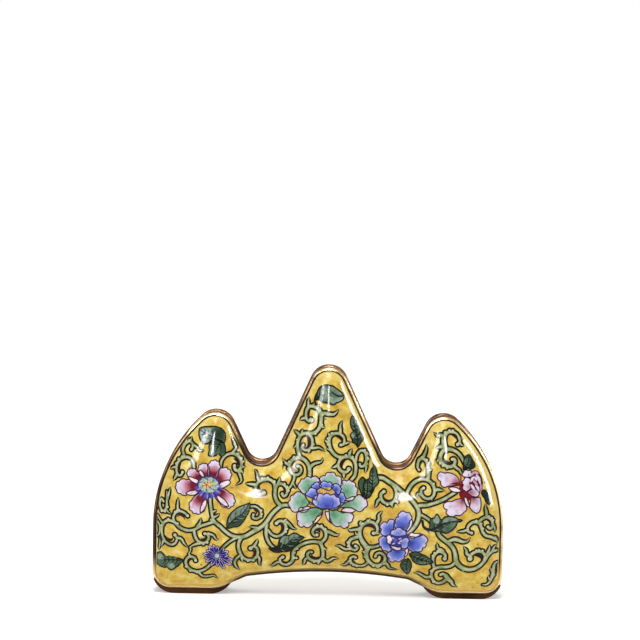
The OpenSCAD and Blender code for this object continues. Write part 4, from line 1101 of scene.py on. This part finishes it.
def paint_side_flower(art):
    """Pink and maroon flower on the right."""
    coat = art.coat("side_flower")
    stops = [PETAL_RED, mixed(PETAL_PINK, PETAL_WHITE, 0.6), PETAL_WHITE, PETAL_WHITE]
    petal(coat, 1, [(55.4, 50.3, 0), (50.4, 49.9, 0.1), (48.6, 49.3, 0.2), (47.3, 51.8, 0.2),
                    (45.9, 54.4, 0.3), (48.8, 55.3, 0.1), (52.6, 55, 0.15), (55.2, 51.8, 0)], (54.2, 51),
          stops)
    petal(coat, 1, [(57.6, 45.4, 0), (55.4, 44.6, 0.05), (52.4, 43.4, 0.1), (49, 42.6, 0.3),
                    (50.4, 39.8, 0.3), (50.9, 37.4, 0.25), (53.9, 37.6, 0.2), (57.4, 38.8, 0.2),
                    (58.6, 40.8, 0)], (56.9, 43.8), stops)
    petal(coat, 1, [(60.4, 45, 0), (59.8, 41, 0.05), (61.8, 38.8, 0.2), (64.1, 38.8, 0.1), (64.2, 45, 0)],
          (61.6, 44.6), stops)
    petal(coat, 2, [(57, 53.8), (56.9, 55.8), (59, 56.4), (60.6, 55.2), (59.4, 53.6, 0)], (58.4, 54.4),
          [PETAL_WHITE, PETAL_WHITE])
    dot(coat, 3, (58.2, 48), 3.2, PETAL_RED, 1.5)
    dot(coat, 3, (61.4, 50.8), 4.1, DEEP_MAROON, 1.26)
    mark(coat, 4, [(55.6, 50.9), (53.4, 51), (51.2, 50.8)], (1.4, 1, 0.2), PETAL_RED)
    fold(coat, 5, [(50.6, 49.2, 0.1), (53.8, 49.4, 0.1), (56.2, 47.6, 0.05), (53.2, 47.4, 0.1)],
         (53.2, 48.4))
    fold(coat, 5, [(57.5, 45.3, 0.1), (58.6, 44.8, 0), (60, 41.2, 0.1), (58.8, 41.3, 0.1)], (58.6, 43.2))
    petal(coat, 6, [(58.8, 47.2, 0.1), (61.2, 48.8, 0.15), (63.9, 46.8, 0.2), (62.6, 45.2, 0.1)],
          (60.2, 47.4), [mixed(PETAL_RED, PETAL_PINK, 0.5), PETAL_WHITE])
    petal(coat, 6, [(57, 50.4), (57.2, 52.6), (58.8, 53.6), (59.6, 51), (59, 48), (57.6, 48)], (59.2, 49.6),
          [PETAL_PINK, PETAL_WHITE, PETAL_WHITE])
    curls = (((60.3, 54.3), (61.6, 55.5), (63.4, 55)), ((60.2, 51.9), (60.9, 53.1), (61.5, 53.6)),
             ((62.6, 54.3), (63.6, 52.8), (64.2, 50.9)), ((61.4, 51.9), (62.2, 51.2), (62.9, 50.2)),
             ((60.3, 50.3), (61, 49.4), (61.8, 48.4)), ((62.4, 50), (63.2, 49), (63.7, 47.8)),
             ((64.5, 50.2), (64.8, 48.8), (64.6, 47.4)), ((62, 53.4), (62.4, 52.8), (62.7, 52.2)))
    for order, curl in enumerate(curls):
        shade = mixed(PETAL_PINK, PETAL_WHITE, 0.9 if order % 3 else 0.35)
        mark(coat, 7 + order % 2, curl, (0.7, 1.2, 0.6), shade)
    mark(coat, 9, [(60, 55.4), (61.6, 56.2), (63.2, 55.7), (64.5, 53.6), (65.1, 50.6), (65, 47.4)],
         (0.3, 0.45, 0.3), MAROON)
    mark(coat, 4, [(56, 51.4), (55.8, 53.6), (56.2, 55.6)], (0.9, 0.8, 0.2), SEPAL_BROWN)


def paint_star_flower(art):
    """Small violet star flower over the left foot."""
    coat = art.coat("star_flower")
    centre = np.array((-46.9, 17.9))
    tips = ((-50.7, 22.4), (-48.6, 23), (-46.8, 22.4), (-43.8, 21.6), (-41.9, 20), (-42, 18), (-39.9, 16),
            (-40.6, 13.5), (-43.6, 11.6), (-46.6, 12.8), (-49.6, 13.2), (-51.8, 15.1), (-52.4, 16.8),
            (-53.1, 18.6), (-51.6, 20.4))
    for order, tip in enumerate(tips):
        run = np.array(tip) - centre
        side = np.array([-run[1], run[0]]) / np.linalg.norm(run) * 0.8
        outline = [(*(centre + run * 0.25 + side * 0.5), 0.05), (*(centre + run * 0.72 + side), 0.1),
                   (*tip, 0.1), (*(centre + run * 0.72 - side), 0.05),
                   (*(centre + run * 0.25 - side * 0.5), 0)]
        petal(coat, 1 + order % 3, outline, centre + run * 0.55, [STAR_RIM, STAR_RIM], STAR_LINE,
              rim_tint=STAR_RIM, line_w=0.38)
        streak = smooth_path([centre + run * 0.36, centre + run * 0.6, centre + run * 0.84])
        coat.ribbon(streak, spread((0.6, 1.05, 0.3), streak), STAR_VIOLET, COAT_LIFT + COAT_STEP * 5)
    dot(coat, 6, centre, 1.5, STAR_DISC)
    dot(coat, 7, centre, 0.9, STAR_HEART)


def painted_design():
    """The whole design of one face."""
    art = Painting()
    for part in (scrolls_of_left_foot, scrolls_of_left_peak, scrolls_left_of_middle, scrolls_of_middle_peak,
                 scrolls_right_of_middle, scrolls_of_right_peak, scrolls_of_right_foot, paint_leaves,
                 paint_large_flower, paint_blue_flower, paint_red_flower, paint_side_flower,
                 paint_star_flower):
        part(art)
    return art


# Meshes

def new_piece(name, points, faces, material, smooth_angle=SMOOTH_ANGLE):
    """Piece from points in millimetres, with its normals outwards and smooth up to an angle."""
    mesh = bpy.data.meshes.new(name)
    mesh.from_pydata((np.asarray(points) * MM).tolist(), [], faces)
    work = bmesh.new()
    work.from_mesh(mesh)
    bmesh.ops.recalc_face_normals(work, faces=work.faces)
    work.to_mesh(mesh)
    work.free()
    for polygon in mesh.polygons:
        polygon.use_smooth = True
    mesh.set_sharp_from_angle(angle=math.radians(smooth_angle))
    mesh.materials.append(material)
    piece = bpy.data.objects.new(name, mesh)
    bpy.context.scene.collection.objects.link(piece)
    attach(piece, "root")
    return piece


def set_attribute(piece, name, kind, values):
    """Gives each point of a piece a number or a colour."""
    attribute = piece.data.attributes.new(name, kind, "POINT")
    field = "color" if kind == "FLOAT_COLOR" else "value"
    attribute.data.foreach_set(field, np.asarray(values, float).ravel())


def standing(flat, y):
    """Points of a face at a depth y, which is one number or one for each point."""
    return np.stack([flat[:, 0], np.broadcast_to(y, len(flat)), flat[:, 1]], 1)


def paint_pieces(art, side_name, side, material):
    """Makes the pieces of the painted design on one face."""
    for name, coat in art.coats.items():
        flat = np.concatenate(coat.points)
        depth = glaze_depth(flat) + np.concatenate(coat.lifts)
        piece = new_piece(f"{side_name}_{name}", standing(flat, side * depth), coat.faces, material)
        tints = np.concatenate(coat.tints)
        set_attribute(piece, "tint", "FLOAT_COLOR", np.column_stack([tints, np.ones(len(tints))]))


def face_grid():
    """Places on a face: columns that are closer at the sides, rows that are closer at the edges."""
    s = np.linspace(-1, 1, 2 * HALF_COLUMNS + 1)
    x = HALF_W * ((1 - SIDE_CROWDING) * s + SIDE_CROWDING * np.sin(math.pi / 2 * s))
    t = np.linspace(0, 1, ROWS + 1)
    t = (1 - EDGE_CROWDING) * t + EDGE_CROWDING * (1 - np.cos(math.pi * t)) / 2
    low, high = height_limits(x)
    z = low[:, None] + (high - low)[:, None] * t
    return np.stack([np.repeat(x[:, None], ROWS + 1, 1), z], 2)


def enamel_face(side_name, side, material):
    """Smooth coat of yellow enamel over one copper face."""
    grid = face_grid()
    columns, rows = grid.shape[:2]
    flat = grid.reshape(-1, 2)
    on_edge = np.zeros((columns, rows), bool)
    on_edge[[0, -1], :] = True
    on_edge[:, [0, -1]] = True
    distance = np.where(on_edge.ravel(), 0, edge_distance(flat))
    rise = swell(distance)
    outer = standing(flat, side * (HALF_BODY + ENAMEL_T + rise))
    inner = standing(flat, side * (HALF_BODY + rise))
    count = len(flat)
    faces = []
    for i in range(columns - 1):
        for j in range(rows - 1):
            a = i * rows + j
            cell = [a, a + rows, a + rows + 1, a + 1]
            faces.append(cell)
            faces.append([n + count for n in reversed(cell)])
    border = ([i * rows for i in range(columns)] + [(columns - 1) * rows + j for j in range(1, rows)]
              + [i * rows + rows - 1 for i in range(columns - 2, -1, -1)]
              + [j for j in range(rows - 2, 0, -1)])
    for a, b in zip(border, border[1:] + border[:1]):
        faces.append([a, b, b + count, a + count])
    piece = new_piece(f"{side_name}_glaze", np.concatenate([outer, inner]), faces, material)
    set_attribute(piece, "edge", "FLOAT", np.concatenate([distance, distance]))
    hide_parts(f"{side_name}_enamel")


def stepped(line, step):
    """Places about a step apart along a line of points, without its last point."""
    places = []
    for a, b in zip(line, line[1:]):
        count = max(1, round(np.linalg.norm(b - a) / step))
        places += [a + (b - a) * k / count for k in range(count)]
    return places


def closed_edge():
    """Closed edge of a face, and its outward unit vectors."""
    ring = np.concatenate([LOWER_EDGE, UPPER_EDGE[::-1]])
    ring = ring[np.linalg.norm(ring - np.roll(ring, 1, axis=0), axis=1) > SAME_PLACE]
    path = np.array(stepped([*ring, ring[0]], RIM_STEP))
    return path, -path_sides(path, closed=True)


def upper_edge():
    """Edge over the peaks and valleys and down to the rounded corners of the feet, and its unit vectors."""
    above_foot = (0, FOOT_CORNER[1] + FOOT_CORNER[2])
    start, end = (UPPER_EDGE[k] * (1, 0) + above_foot for k in (0, -1))
    path = np.array([start, *stepped(UPPER_EDGE, BAND_STEP), UPPER_EDGE[-1], end])
    return path, path_sides(path)


def carried(name, sections, path, out, material, closed=False, smooth_angle=SMOOTH_ANGLE):
    """Piece whose section, as places away from the path and along Y, is carried along the path. An open
    path gets two end faces."""
    points = [standing(path + out * away, y) for away, y in sections]
    count = len(path)
    faces = []
    for s in range(len(sections)):
        t = (s + 1) % len(sections)
        for k in range(count if closed else count - 1):
            m = (k + 1) % count
            faces.append([s * count + k, s * count + m, t * count + m, t * count + k])
    if not closed:
        faces.append([s * count for s in range(len(sections))])
        faces.append([s * count + count - 1 for s in reversed(range(len(sections)))])
    return new_piece(name, np.concatenate(points), faces, material, smooth_angle)


def rim_piece(side_name, side, material):
    """Half-round gilt bead along the edge of one face."""
    centre = HALF_BODY - RIM_INSET
    sections = [(MARGIN + RIM_R * math.cos(a), side * (centre + RIM_R * math.sin(a)))
                for a in np.linspace(-math.pi / 2, math.pi / 2, RIM_ARC_STEPS + 1)]
    piece = carried(f"{side_name}_bead", sections, *closed_edge(), material, closed=True,
                    smooth_angle=BEAD_SMOOTH_ANGLE)
    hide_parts(f"{side_name}_rim")


def upper_band_piece(material):
    """Copper band over the peaks and valleys, between the two beads."""
    inside = MARGIN - BAND_T
    sections = [(MARGIN, -BAND_HALF_W), (MARGIN, 0), (MARGIN, BAND_HALF_W), (inside, BAND_HALF_W),
                (inside, -BAND_HALF_W)]
    piece = carried("peak_band", sections, *upper_edge(), material)
    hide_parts("upper_band")


# Materials

class Nodes:
    """Short way to build a material's nodes."""

    def __init__(self, name):
        self.material = bpy.data.materials.new(name)
        self.material.use_nodes = True
        self.tree = self.material.node_tree
        self.shader = self.tree.nodes["Principled BSDF"]

    def add(self, kind, **settings):
        node = self.tree.nodes.new(kind)
        for key, value in settings.items():
            setattr(node, key, value)
        return node

    def link(self, output, socket):
        self.tree.links.new(output, socket)

    def paint(self, colour):
        """Gives the shader its colour."""
        self.link(colour, self.shader.inputs["Base Color"])

    def place(self, scale=(1, 1, 1)):
        """Object coordinates, stretched by a scale along each axis."""
        coordinates = self.add("ShaderNodeTexCoord")
        mapping = self.add("ShaderNodeMapping")
        mapping.inputs["Scale"].default_value = scale
        self.link(coordinates.outputs["Object"], mapping.inputs["Vector"])
        return mapping.outputs["Vector"]

    def noise(self, scale, detail=3.0, stretch=(1, 1, 1), roughness=0.55):
        node = self.add("ShaderNodeTexNoise")
        node.inputs["Scale"].default_value = scale
        node.inputs["Detail"].default_value = detail
        node.inputs["Roughness"].default_value = roughness
        self.link(self.place(stretch), node.inputs["Vector"])
        return node.outputs["Fac"]

    def ramp(self, value, stops):
        """Colour ramp through (place, sRGB colour) stops."""
        node = self.add("ShaderNodeValToRGB")
        elements = node.color_ramp.elements
        while len(elements) < len(stops):
            elements.new(0.5)
        for element, (place, colour) in zip(elements, stops):
            element.position = place
            element.color = (*linear(colour), 1)
        self.link(value, node.inputs["Fac"])
        return node.outputs["Color"]

    def mix(self, share, a, b, blend="MIX"):
        """Mix of two colours. Share is a number or an output."""
        node = self.add("ShaderNodeMix", data_type="RGBA", blend_type=blend)
        if isinstance(share, (int, float)):
            node.inputs[0].default_value = share
        else:
            self.link(share, node.inputs[0])
        for value, socket in ((a, node.inputs[6]), (b, node.inputs[7])):
            if isinstance(value, tuple):
                socket.default_value = (*linear(value), 1)
            else:
                self.link(value, socket)
        return node.outputs[2]

    def bump(self, height, strength, distance):
        node = self.add("ShaderNodeBump")
        node.inputs["Strength"].default_value = strength
        node.inputs["Distance"].default_value = distance
        self.link(height, node.inputs["Height"])
        self.link(node.outputs["Normal"], self.shader.inputs["Normal"])

    def position(self):
        """X, y and z of the place."""
        parts = self.add("ShaderNodeSeparateXYZ")
        self.link(self.place(), parts.inputs["Vector"])
        return parts.outputs["X"], parts.outputs["Y"], parts.outputs["Z"]

    def math(self, operation, a, b=None):
        """One output worked on alone, or together with another output or a number."""
        step = self.add("ShaderNodeMath", operation=operation)
        self.link(a, step.inputs[0])
        if isinstance(b, float):
            step.inputs[1].default_value = b
        elif b is not None:
            self.link(b, step.inputs[1])
        return step.outputs[0]

    def fade(self, value, nought, one):
        """Smooth change from nought to one between two limits of a value."""
        change = self.add("ShaderNodeMapRange", interpolation_type="SMOOTHSTEP")
        change.inputs["From Min"].default_value = nought
        change.inputs["From Max"].default_value = one
        self.link(value, change.inputs["Value"])
        return change.outputs["Result"]

    def gloss(self, roughness, ior=1.4, metallic=0.0, level=0.5):
        """Sets how the surface shines. The level scales the shine that isn't metallic."""
        self.shader.inputs["Roughness"].default_value = roughness
        self.shader.inputs["IOR"].default_value = ior
        self.shader.inputs["Metallic"].default_value = metallic
        self.shader.inputs["Specular IOR Level"].default_value = level


def glaze_surface(nodes):
    """Gloss of fired enamel: a hard shine with faint waves in it."""
    nodes.gloss(0.11, 1.45, level=0.16)
    nodes.bump(nodes.noise(150, 2.0), 0.12, 0.0006)


def pale_by_edge(nodes):
    """Half at the very edge of the enamel, nought from 2 mm inside it."""
    edge = nodes.add("ShaderNodeAttribute", attribute_name="edge")
    share = nodes.add("ShaderNodeMapRange")
    share.inputs["From Max"].default_value = 2.0
    share.inputs["To Min"].default_value = 0.5
    share.inputs["To Max"].default_value = 0.0
    nodes.link(edge.outputs["Fac"], share.inputs["Value"])
    return share.outputs["Result"]


def small_pits(nodes):
    """White in scattered small spots, black elsewhere."""
    cells = nodes.add("ShaderNodeTexVoronoi")
    cells.inputs["Scale"].default_value = 190
    nodes.link(nodes.place(), cells.inputs["Vector"])
    return nodes.ramp(cells.outputs["Distance"], [(0.05, (255, 255, 255)), (0.11, (0, 0, 0))])


def yellow_enamel():
    """Yellow ground: brushed mottling, pale at the very edge, with small pits."""
    nodes = Nodes("yellow_enamel")
    cloud = nodes.ramp(nodes.noise(170, 4.0, (1, 1, 1.15), 0.6),
                       [(0.3, (184, 130, 34)), (0.44, (208, 168, 54)), (0.54, (220, 192, 82)),
                        (0.7, (238, 226, 156))])
    fine = nodes.ramp(nodes.noise(560, 4.0), [(0.3, (164, 124, 42)), (0.7, (232, 212, 130))])
    ground = nodes.mix(0.3, cloud, fine)
    ground = nodes.mix(pale_by_edge(nodes), ground, (240, 222, 150))
    ground = nodes.mix(small_pits(nodes), ground, (150, 112, 52))
    nodes.paint(ground)
    glaze_surface(nodes)
    return nodes.material


def painted_enamel():
    """Painted coats: their own tint, a little uneven as brushed colour is."""
    nodes = Nodes("painted_enamel")
    tint = nodes.add("ShaderNodeAttribute", attribute_name="tint")
    wash = nodes.ramp(nodes.noise(500, 4.0), [(0.3, (196, 196, 196)), (0.55, (255, 255, 255))])
    nodes.paint(nodes.mix(0.8, tint.outputs["Color"], wash, "MULTIPLY"))
    glaze_surface(nodes)
    return nodes.material


def painted_arch_shade(nodes):
    """Share of painted shade: one along the arch, nought from the feet outwards and above."""
    x, _, z = nodes.position()
    between_feet = nodes.fade(nodes.math("ABSOLUTE", x), *BETWEEN_FEET_X)
    return nodes.math("MULTIPLY", between_feet, nodes.fade(z, *ARCH_TOP_Z))


def near_table(nodes):
    """One at the feet, nought above them."""
    return nodes.fade(nodes.position()[2], *FEET_TOP_Z)


def painted_rim_highlight(nodes):
    """Share of painted highlight on the bead's crown: one over the peaks and down the right side, else
    nought.
    The left flank of the middle peak gets no painted highlight and stays brown."""
    x, y, z = nodes.position()
    lit_places = nodes.math("MAXIMUM", nodes.fade(z, *PEAKS_Z), nodes.fade(x, *RIGHT_SIDE_X))
    crown = nodes.fade(nodes.math("ABSOLUTE", y), *RIM_CROWN_Y)
    from_flank = nodes.math("ABSOLUTE", nodes.math("ADD", x, -NO_HIGHLIGHT_FLANK_X))
    off_flank = nodes.fade(from_flank, *NO_HIGHLIGHT_FLANK_REACH)
    return nodes.math("MULTIPLY", nodes.math("MULTIPLY", lit_places, crown), off_flank)


def gilt_copper():
    """Gilding over copper, brown in patches. It carries painted light: a highlight on the bead's crown over
    the peaks and down the right side, a pale highlight along the feet, and dark brown shade under the arch.
    """
    nodes = Nodes("gilt_copper")
    wear_and_painted_light = nodes.ramp(nodes.noise(90, 4.0),
                      [(0.36, (46, 28, 12)), (0.52, (80, 52, 24)), (0.74, (148, 114, 68))])
    highlight_tone = nodes.ramp(nodes.noise(120, 4.0),
                        [(0.32, (112, 82, 46)), (0.46, (186, 158, 112)), (0.6, (218, 198, 156))])
    # Painted highlight on the bead's crown over the peaks and down the right side.
    wear_and_painted_light = nodes.mix(painted_rim_highlight(nodes), wear_and_painted_light, highlight_tone)
    # Pale painted highlight on the bead along the feet.
    wear_and_painted_light = nodes.mix(near_table(nodes), wear_and_painted_light, (230, 210, 166))
    # Painted shade: dark brown on the gilding under the arch.
    nodes.paint(nodes.mix(painted_arch_shade(nodes), wear_and_painted_light, (56, 36, 20)))
    nodes.gloss(0.26, 1.5, 0.4, 0.2)
    nodes.bump(nodes.noise(900, 3.0), 0.2, 0.0003)
    return nodes.material


def aged_copper(name, dark, light, roughness):
    """Copper that has browned with age."""
    nodes = Nodes(name)
    nodes.paint(nodes.ramp(nodes.noise(60, 5.0, (1, 2.5, 1)), [(0.3, dark), (0.7, light)]))
    nodes.gloss(roughness, 1.3, 0.1, 0.06)
    nodes.bump(nodes.noise(700, 4.0), 0.25, 0.0004)
    return nodes.material


def groove_copper():
    """Margin between enamel and bead: dark metal, with ochre glass run over it along the bottom."""
    nodes = Nodes("groove_copper")
    metal = nodes.ramp(nodes.noise(200, 3.0), [(0.3, (10, 8, 4)), (0.7, (34, 26, 12))])
    nodes.paint(nodes.mix(near_table(nodes), metal, (224, 190, 104)))
    nodes.gloss(0.4, level=0.1)
    return nodes.material


def give_material(node, material):
    """Puts a material on a node of the part that keeps its own shape."""
    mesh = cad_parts[node].data
    mesh.materials.clear()
    mesh.materials.append(material)


# Studio

def rays_that_see_white(tree):
    """One where a camera, glossy or transmission ray is traced, else nought."""
    path = tree.nodes.new("ShaderNodeLightPath")
    total = path.outputs["Is Camera Ray"]
    for name in ("Is Glossy Ray", "Is Transmission Ray"):
        node = tree.nodes.new("ShaderNodeMath")
        node.operation = "MAXIMUM"
        tree.links.new(total, node.inputs[0])
        tree.links.new(path.outputs[name], node.inputs[1])
        total = node.outputs[0]
    return total


def studio_world():
    """White surroundings that give the object only soft, plain light."""
    world = bpy.data.worlds.new("studio")
    bpy.context.scene.world = world
    world.use_nodes = True
    tree = world.node_tree
    background = tree.nodes["Background"]
    background.inputs["Color"].default_value = (1, 1, 1, 1)
    strength = tree.nodes.new("ShaderNodeMapRange")
    strength.inputs["To Min"].default_value = AMBIENT
    strength.inputs["To Max"].default_value = 1.0
    tree.links.new(rays_that_see_white(tree), strength.inputs["Value"])
    tree.links.new(strength.outputs["Result"], background.inputs["Strength"])


def floor_surface():
    """Pale floor that glows a little for the camera, and clears away from the middle."""
    nodes = Nodes("pale_floor")
    nodes.paint(nodes.ramp(nodes.noise(40, 2.0), [(0.3, (236, 235, 233)), (0.7, (239, 238, 236))]))
    nodes.gloss(0.7)
    glow = nodes.math("MULTIPLY", rays_that_see_white(nodes.tree), FLOOR_GLOW)
    nodes.shader.inputs["Emission Color"].default_value = (1, 1, 1, 1)
    nodes.link(glow, nodes.shader.inputs["Emission Strength"])
    length = nodes.add("ShaderNodeVectorMath", operation="LENGTH")
    nodes.link(nodes.place(), length.inputs[0])
    clear = nodes.add("ShaderNodeBsdfTransparent")
    both = nodes.add("ShaderNodeMixShader")
    nodes.link(nodes.fade(length.outputs["Value"], FLOOR_PLAIN_R, FLOOR_R), both.inputs[0])
    nodes.link(nodes.shader.outputs[0], both.inputs[1])
    nodes.link(clear.outputs[0], both.inputs[2])
    nodes.link(both.outputs[0], nodes.tree.nodes["Material Output"].inputs["Surface"])
    return nodes.material


def studio_floor():
    """Pale round floor that fades into the white surroundings."""
    mesh = bpy.data.meshes.new("studio_floor")
    work = bmesh.new()
    bmesh.ops.create_circle(work, cap_ends=True, radius=FLOOR_EDGE_R, segments=FLOOR_SIDES)
    work.to_mesh(mesh)
    work.free()
    mesh.materials.append(floor_surface())
    floor = bpy.data.objects.new("studio_floor", mesh)
    bpy.context.scene.collection.objects.link(floor)


def lamp(name, azimuth, elevation, distance, size, power, shine_only=False):
    """Soft lamp that looks at the object. Azimuth 0 is in front, and 90 on the right. A lamp that is
    shine only gives gloss its highlights and no other light."""
    a, e = math.radians(azimuth), math.radians(elevation)
    toward = Vector((math.sin(a) * math.cos(e), -math.cos(a) * math.cos(e), math.sin(e)))
    light = bpy.data.lights.new(name, "AREA")
    light.shape = "RECTANGLE"
    light.size, light.size_y = size
    light.energy = power
    holder = bpy.data.objects.new(name, light)
    holder.location = AIM + toward * distance
    holder.rotation_euler = toward.to_track_quat("Z", "Y").to_euler()
    holder.visible_camera = False
    holder.visible_diffuse = not shine_only
    bpy.context.scene.collection.objects.link(holder)


def studio_lamps():
    """Two soft boxes that light the object, and three lamps that draw the photograph's highlights."""
    lamp("right_strip", azimuth=80, elevation=15, distance=0.36, size=(0.034, 0.2), power=1.8,
         shine_only=True)
    lamp("left_strip", azimuth=-42, elevation=22, distance=0.9, size=(0.26, 0.36), power=12,
         shine_only=True)
    lamp("low_box", azimuth=-1, elevation=20, distance=1.0, size=(0.12, 0.38), power=14, shine_only=True)
    lamp("front_box", azimuth=-10, elevation=66, distance=1.0, size=(0.3, 0.45), power=7.4)
    lamp("back_box", azimuth=172, elevation=52, distance=1.0, size=(0.3, 0.45), power=3)


def studio_camera():
    """Camera at the photograph's place: a long lens, a little above and almost square to the face."""
    focal_px = 2395.4
    frame_px = 640
    distance, height = 1.015, 0.22456
    yaw, tilt, roll = (math.radians(angle) for angle in (0.5, 5.99, 1.05))
    sideways = -0.0051
    camera = bpy.data.cameras.new("camera")
    camera.sensor_width = 36
    camera.lens = camera.sensor_width * focal_px / frame_px
    camera.clip_start = 0.05
    camera.clip_end = 20
    holder = bpy.data.objects.new("camera", camera)
    forward = Vector((-math.sin(yaw) * math.cos(tilt), math.cos(yaw) * math.cos(tilt), -math.sin(tilt)))
    right = forward.cross(Vector((0, 0, 1))).normalized()
    up = right.cross(forward)
    rolled_right = math.cos(roll) * right + math.sin(roll) * up
    rolled_up = -math.sin(roll) * right + math.cos(roll) * up
    axes = Matrix((rolled_right, rolled_up, -forward)).transposed().to_4x4()
    place = Vector((distance * math.sin(yaw) + sideways, -distance * math.cos(yaw), height))
    holder.matrix_world = Matrix.Translation(place) @ axes
    bpy.context.scene.collection.objects.link(holder)
    bpy.context.scene.camera = holder


def build():
    """Makes every piece, material and lamp."""
    bpy.context.scene.view_settings.view_transform = "Standard"
    studio_camera()
    studio_world()
    studio_floor()
    studio_lamps()
    yellow = yellow_enamel()
    painted = painted_enamel()
    gilt = gilt_copper()
    copper = aged_copper("brown_copper", dark=(58, 28, 8), light=(128, 74, 30), roughness=0.5)
    groove = groove_copper()
    sole = aged_copper("sole_copper", dark=(34, 18, 8), light=(78, 48, 24), roughness=0.65)
    art = painted_design()
    for side_name, side in (("front", -1), ("back", 1)):
        enamel_face(side_name, side, yellow)
        paint_pieces(art, side_name, side, painted)
        rim_piece(side_name, side, gilt)
        give_material(f"{side_name}_shell", groove)
    upper_band_piece(copper)
    give_material("arch_band", copper)
    give_material("left_sole", sole)
    give_material("right_sole", sole)


build()
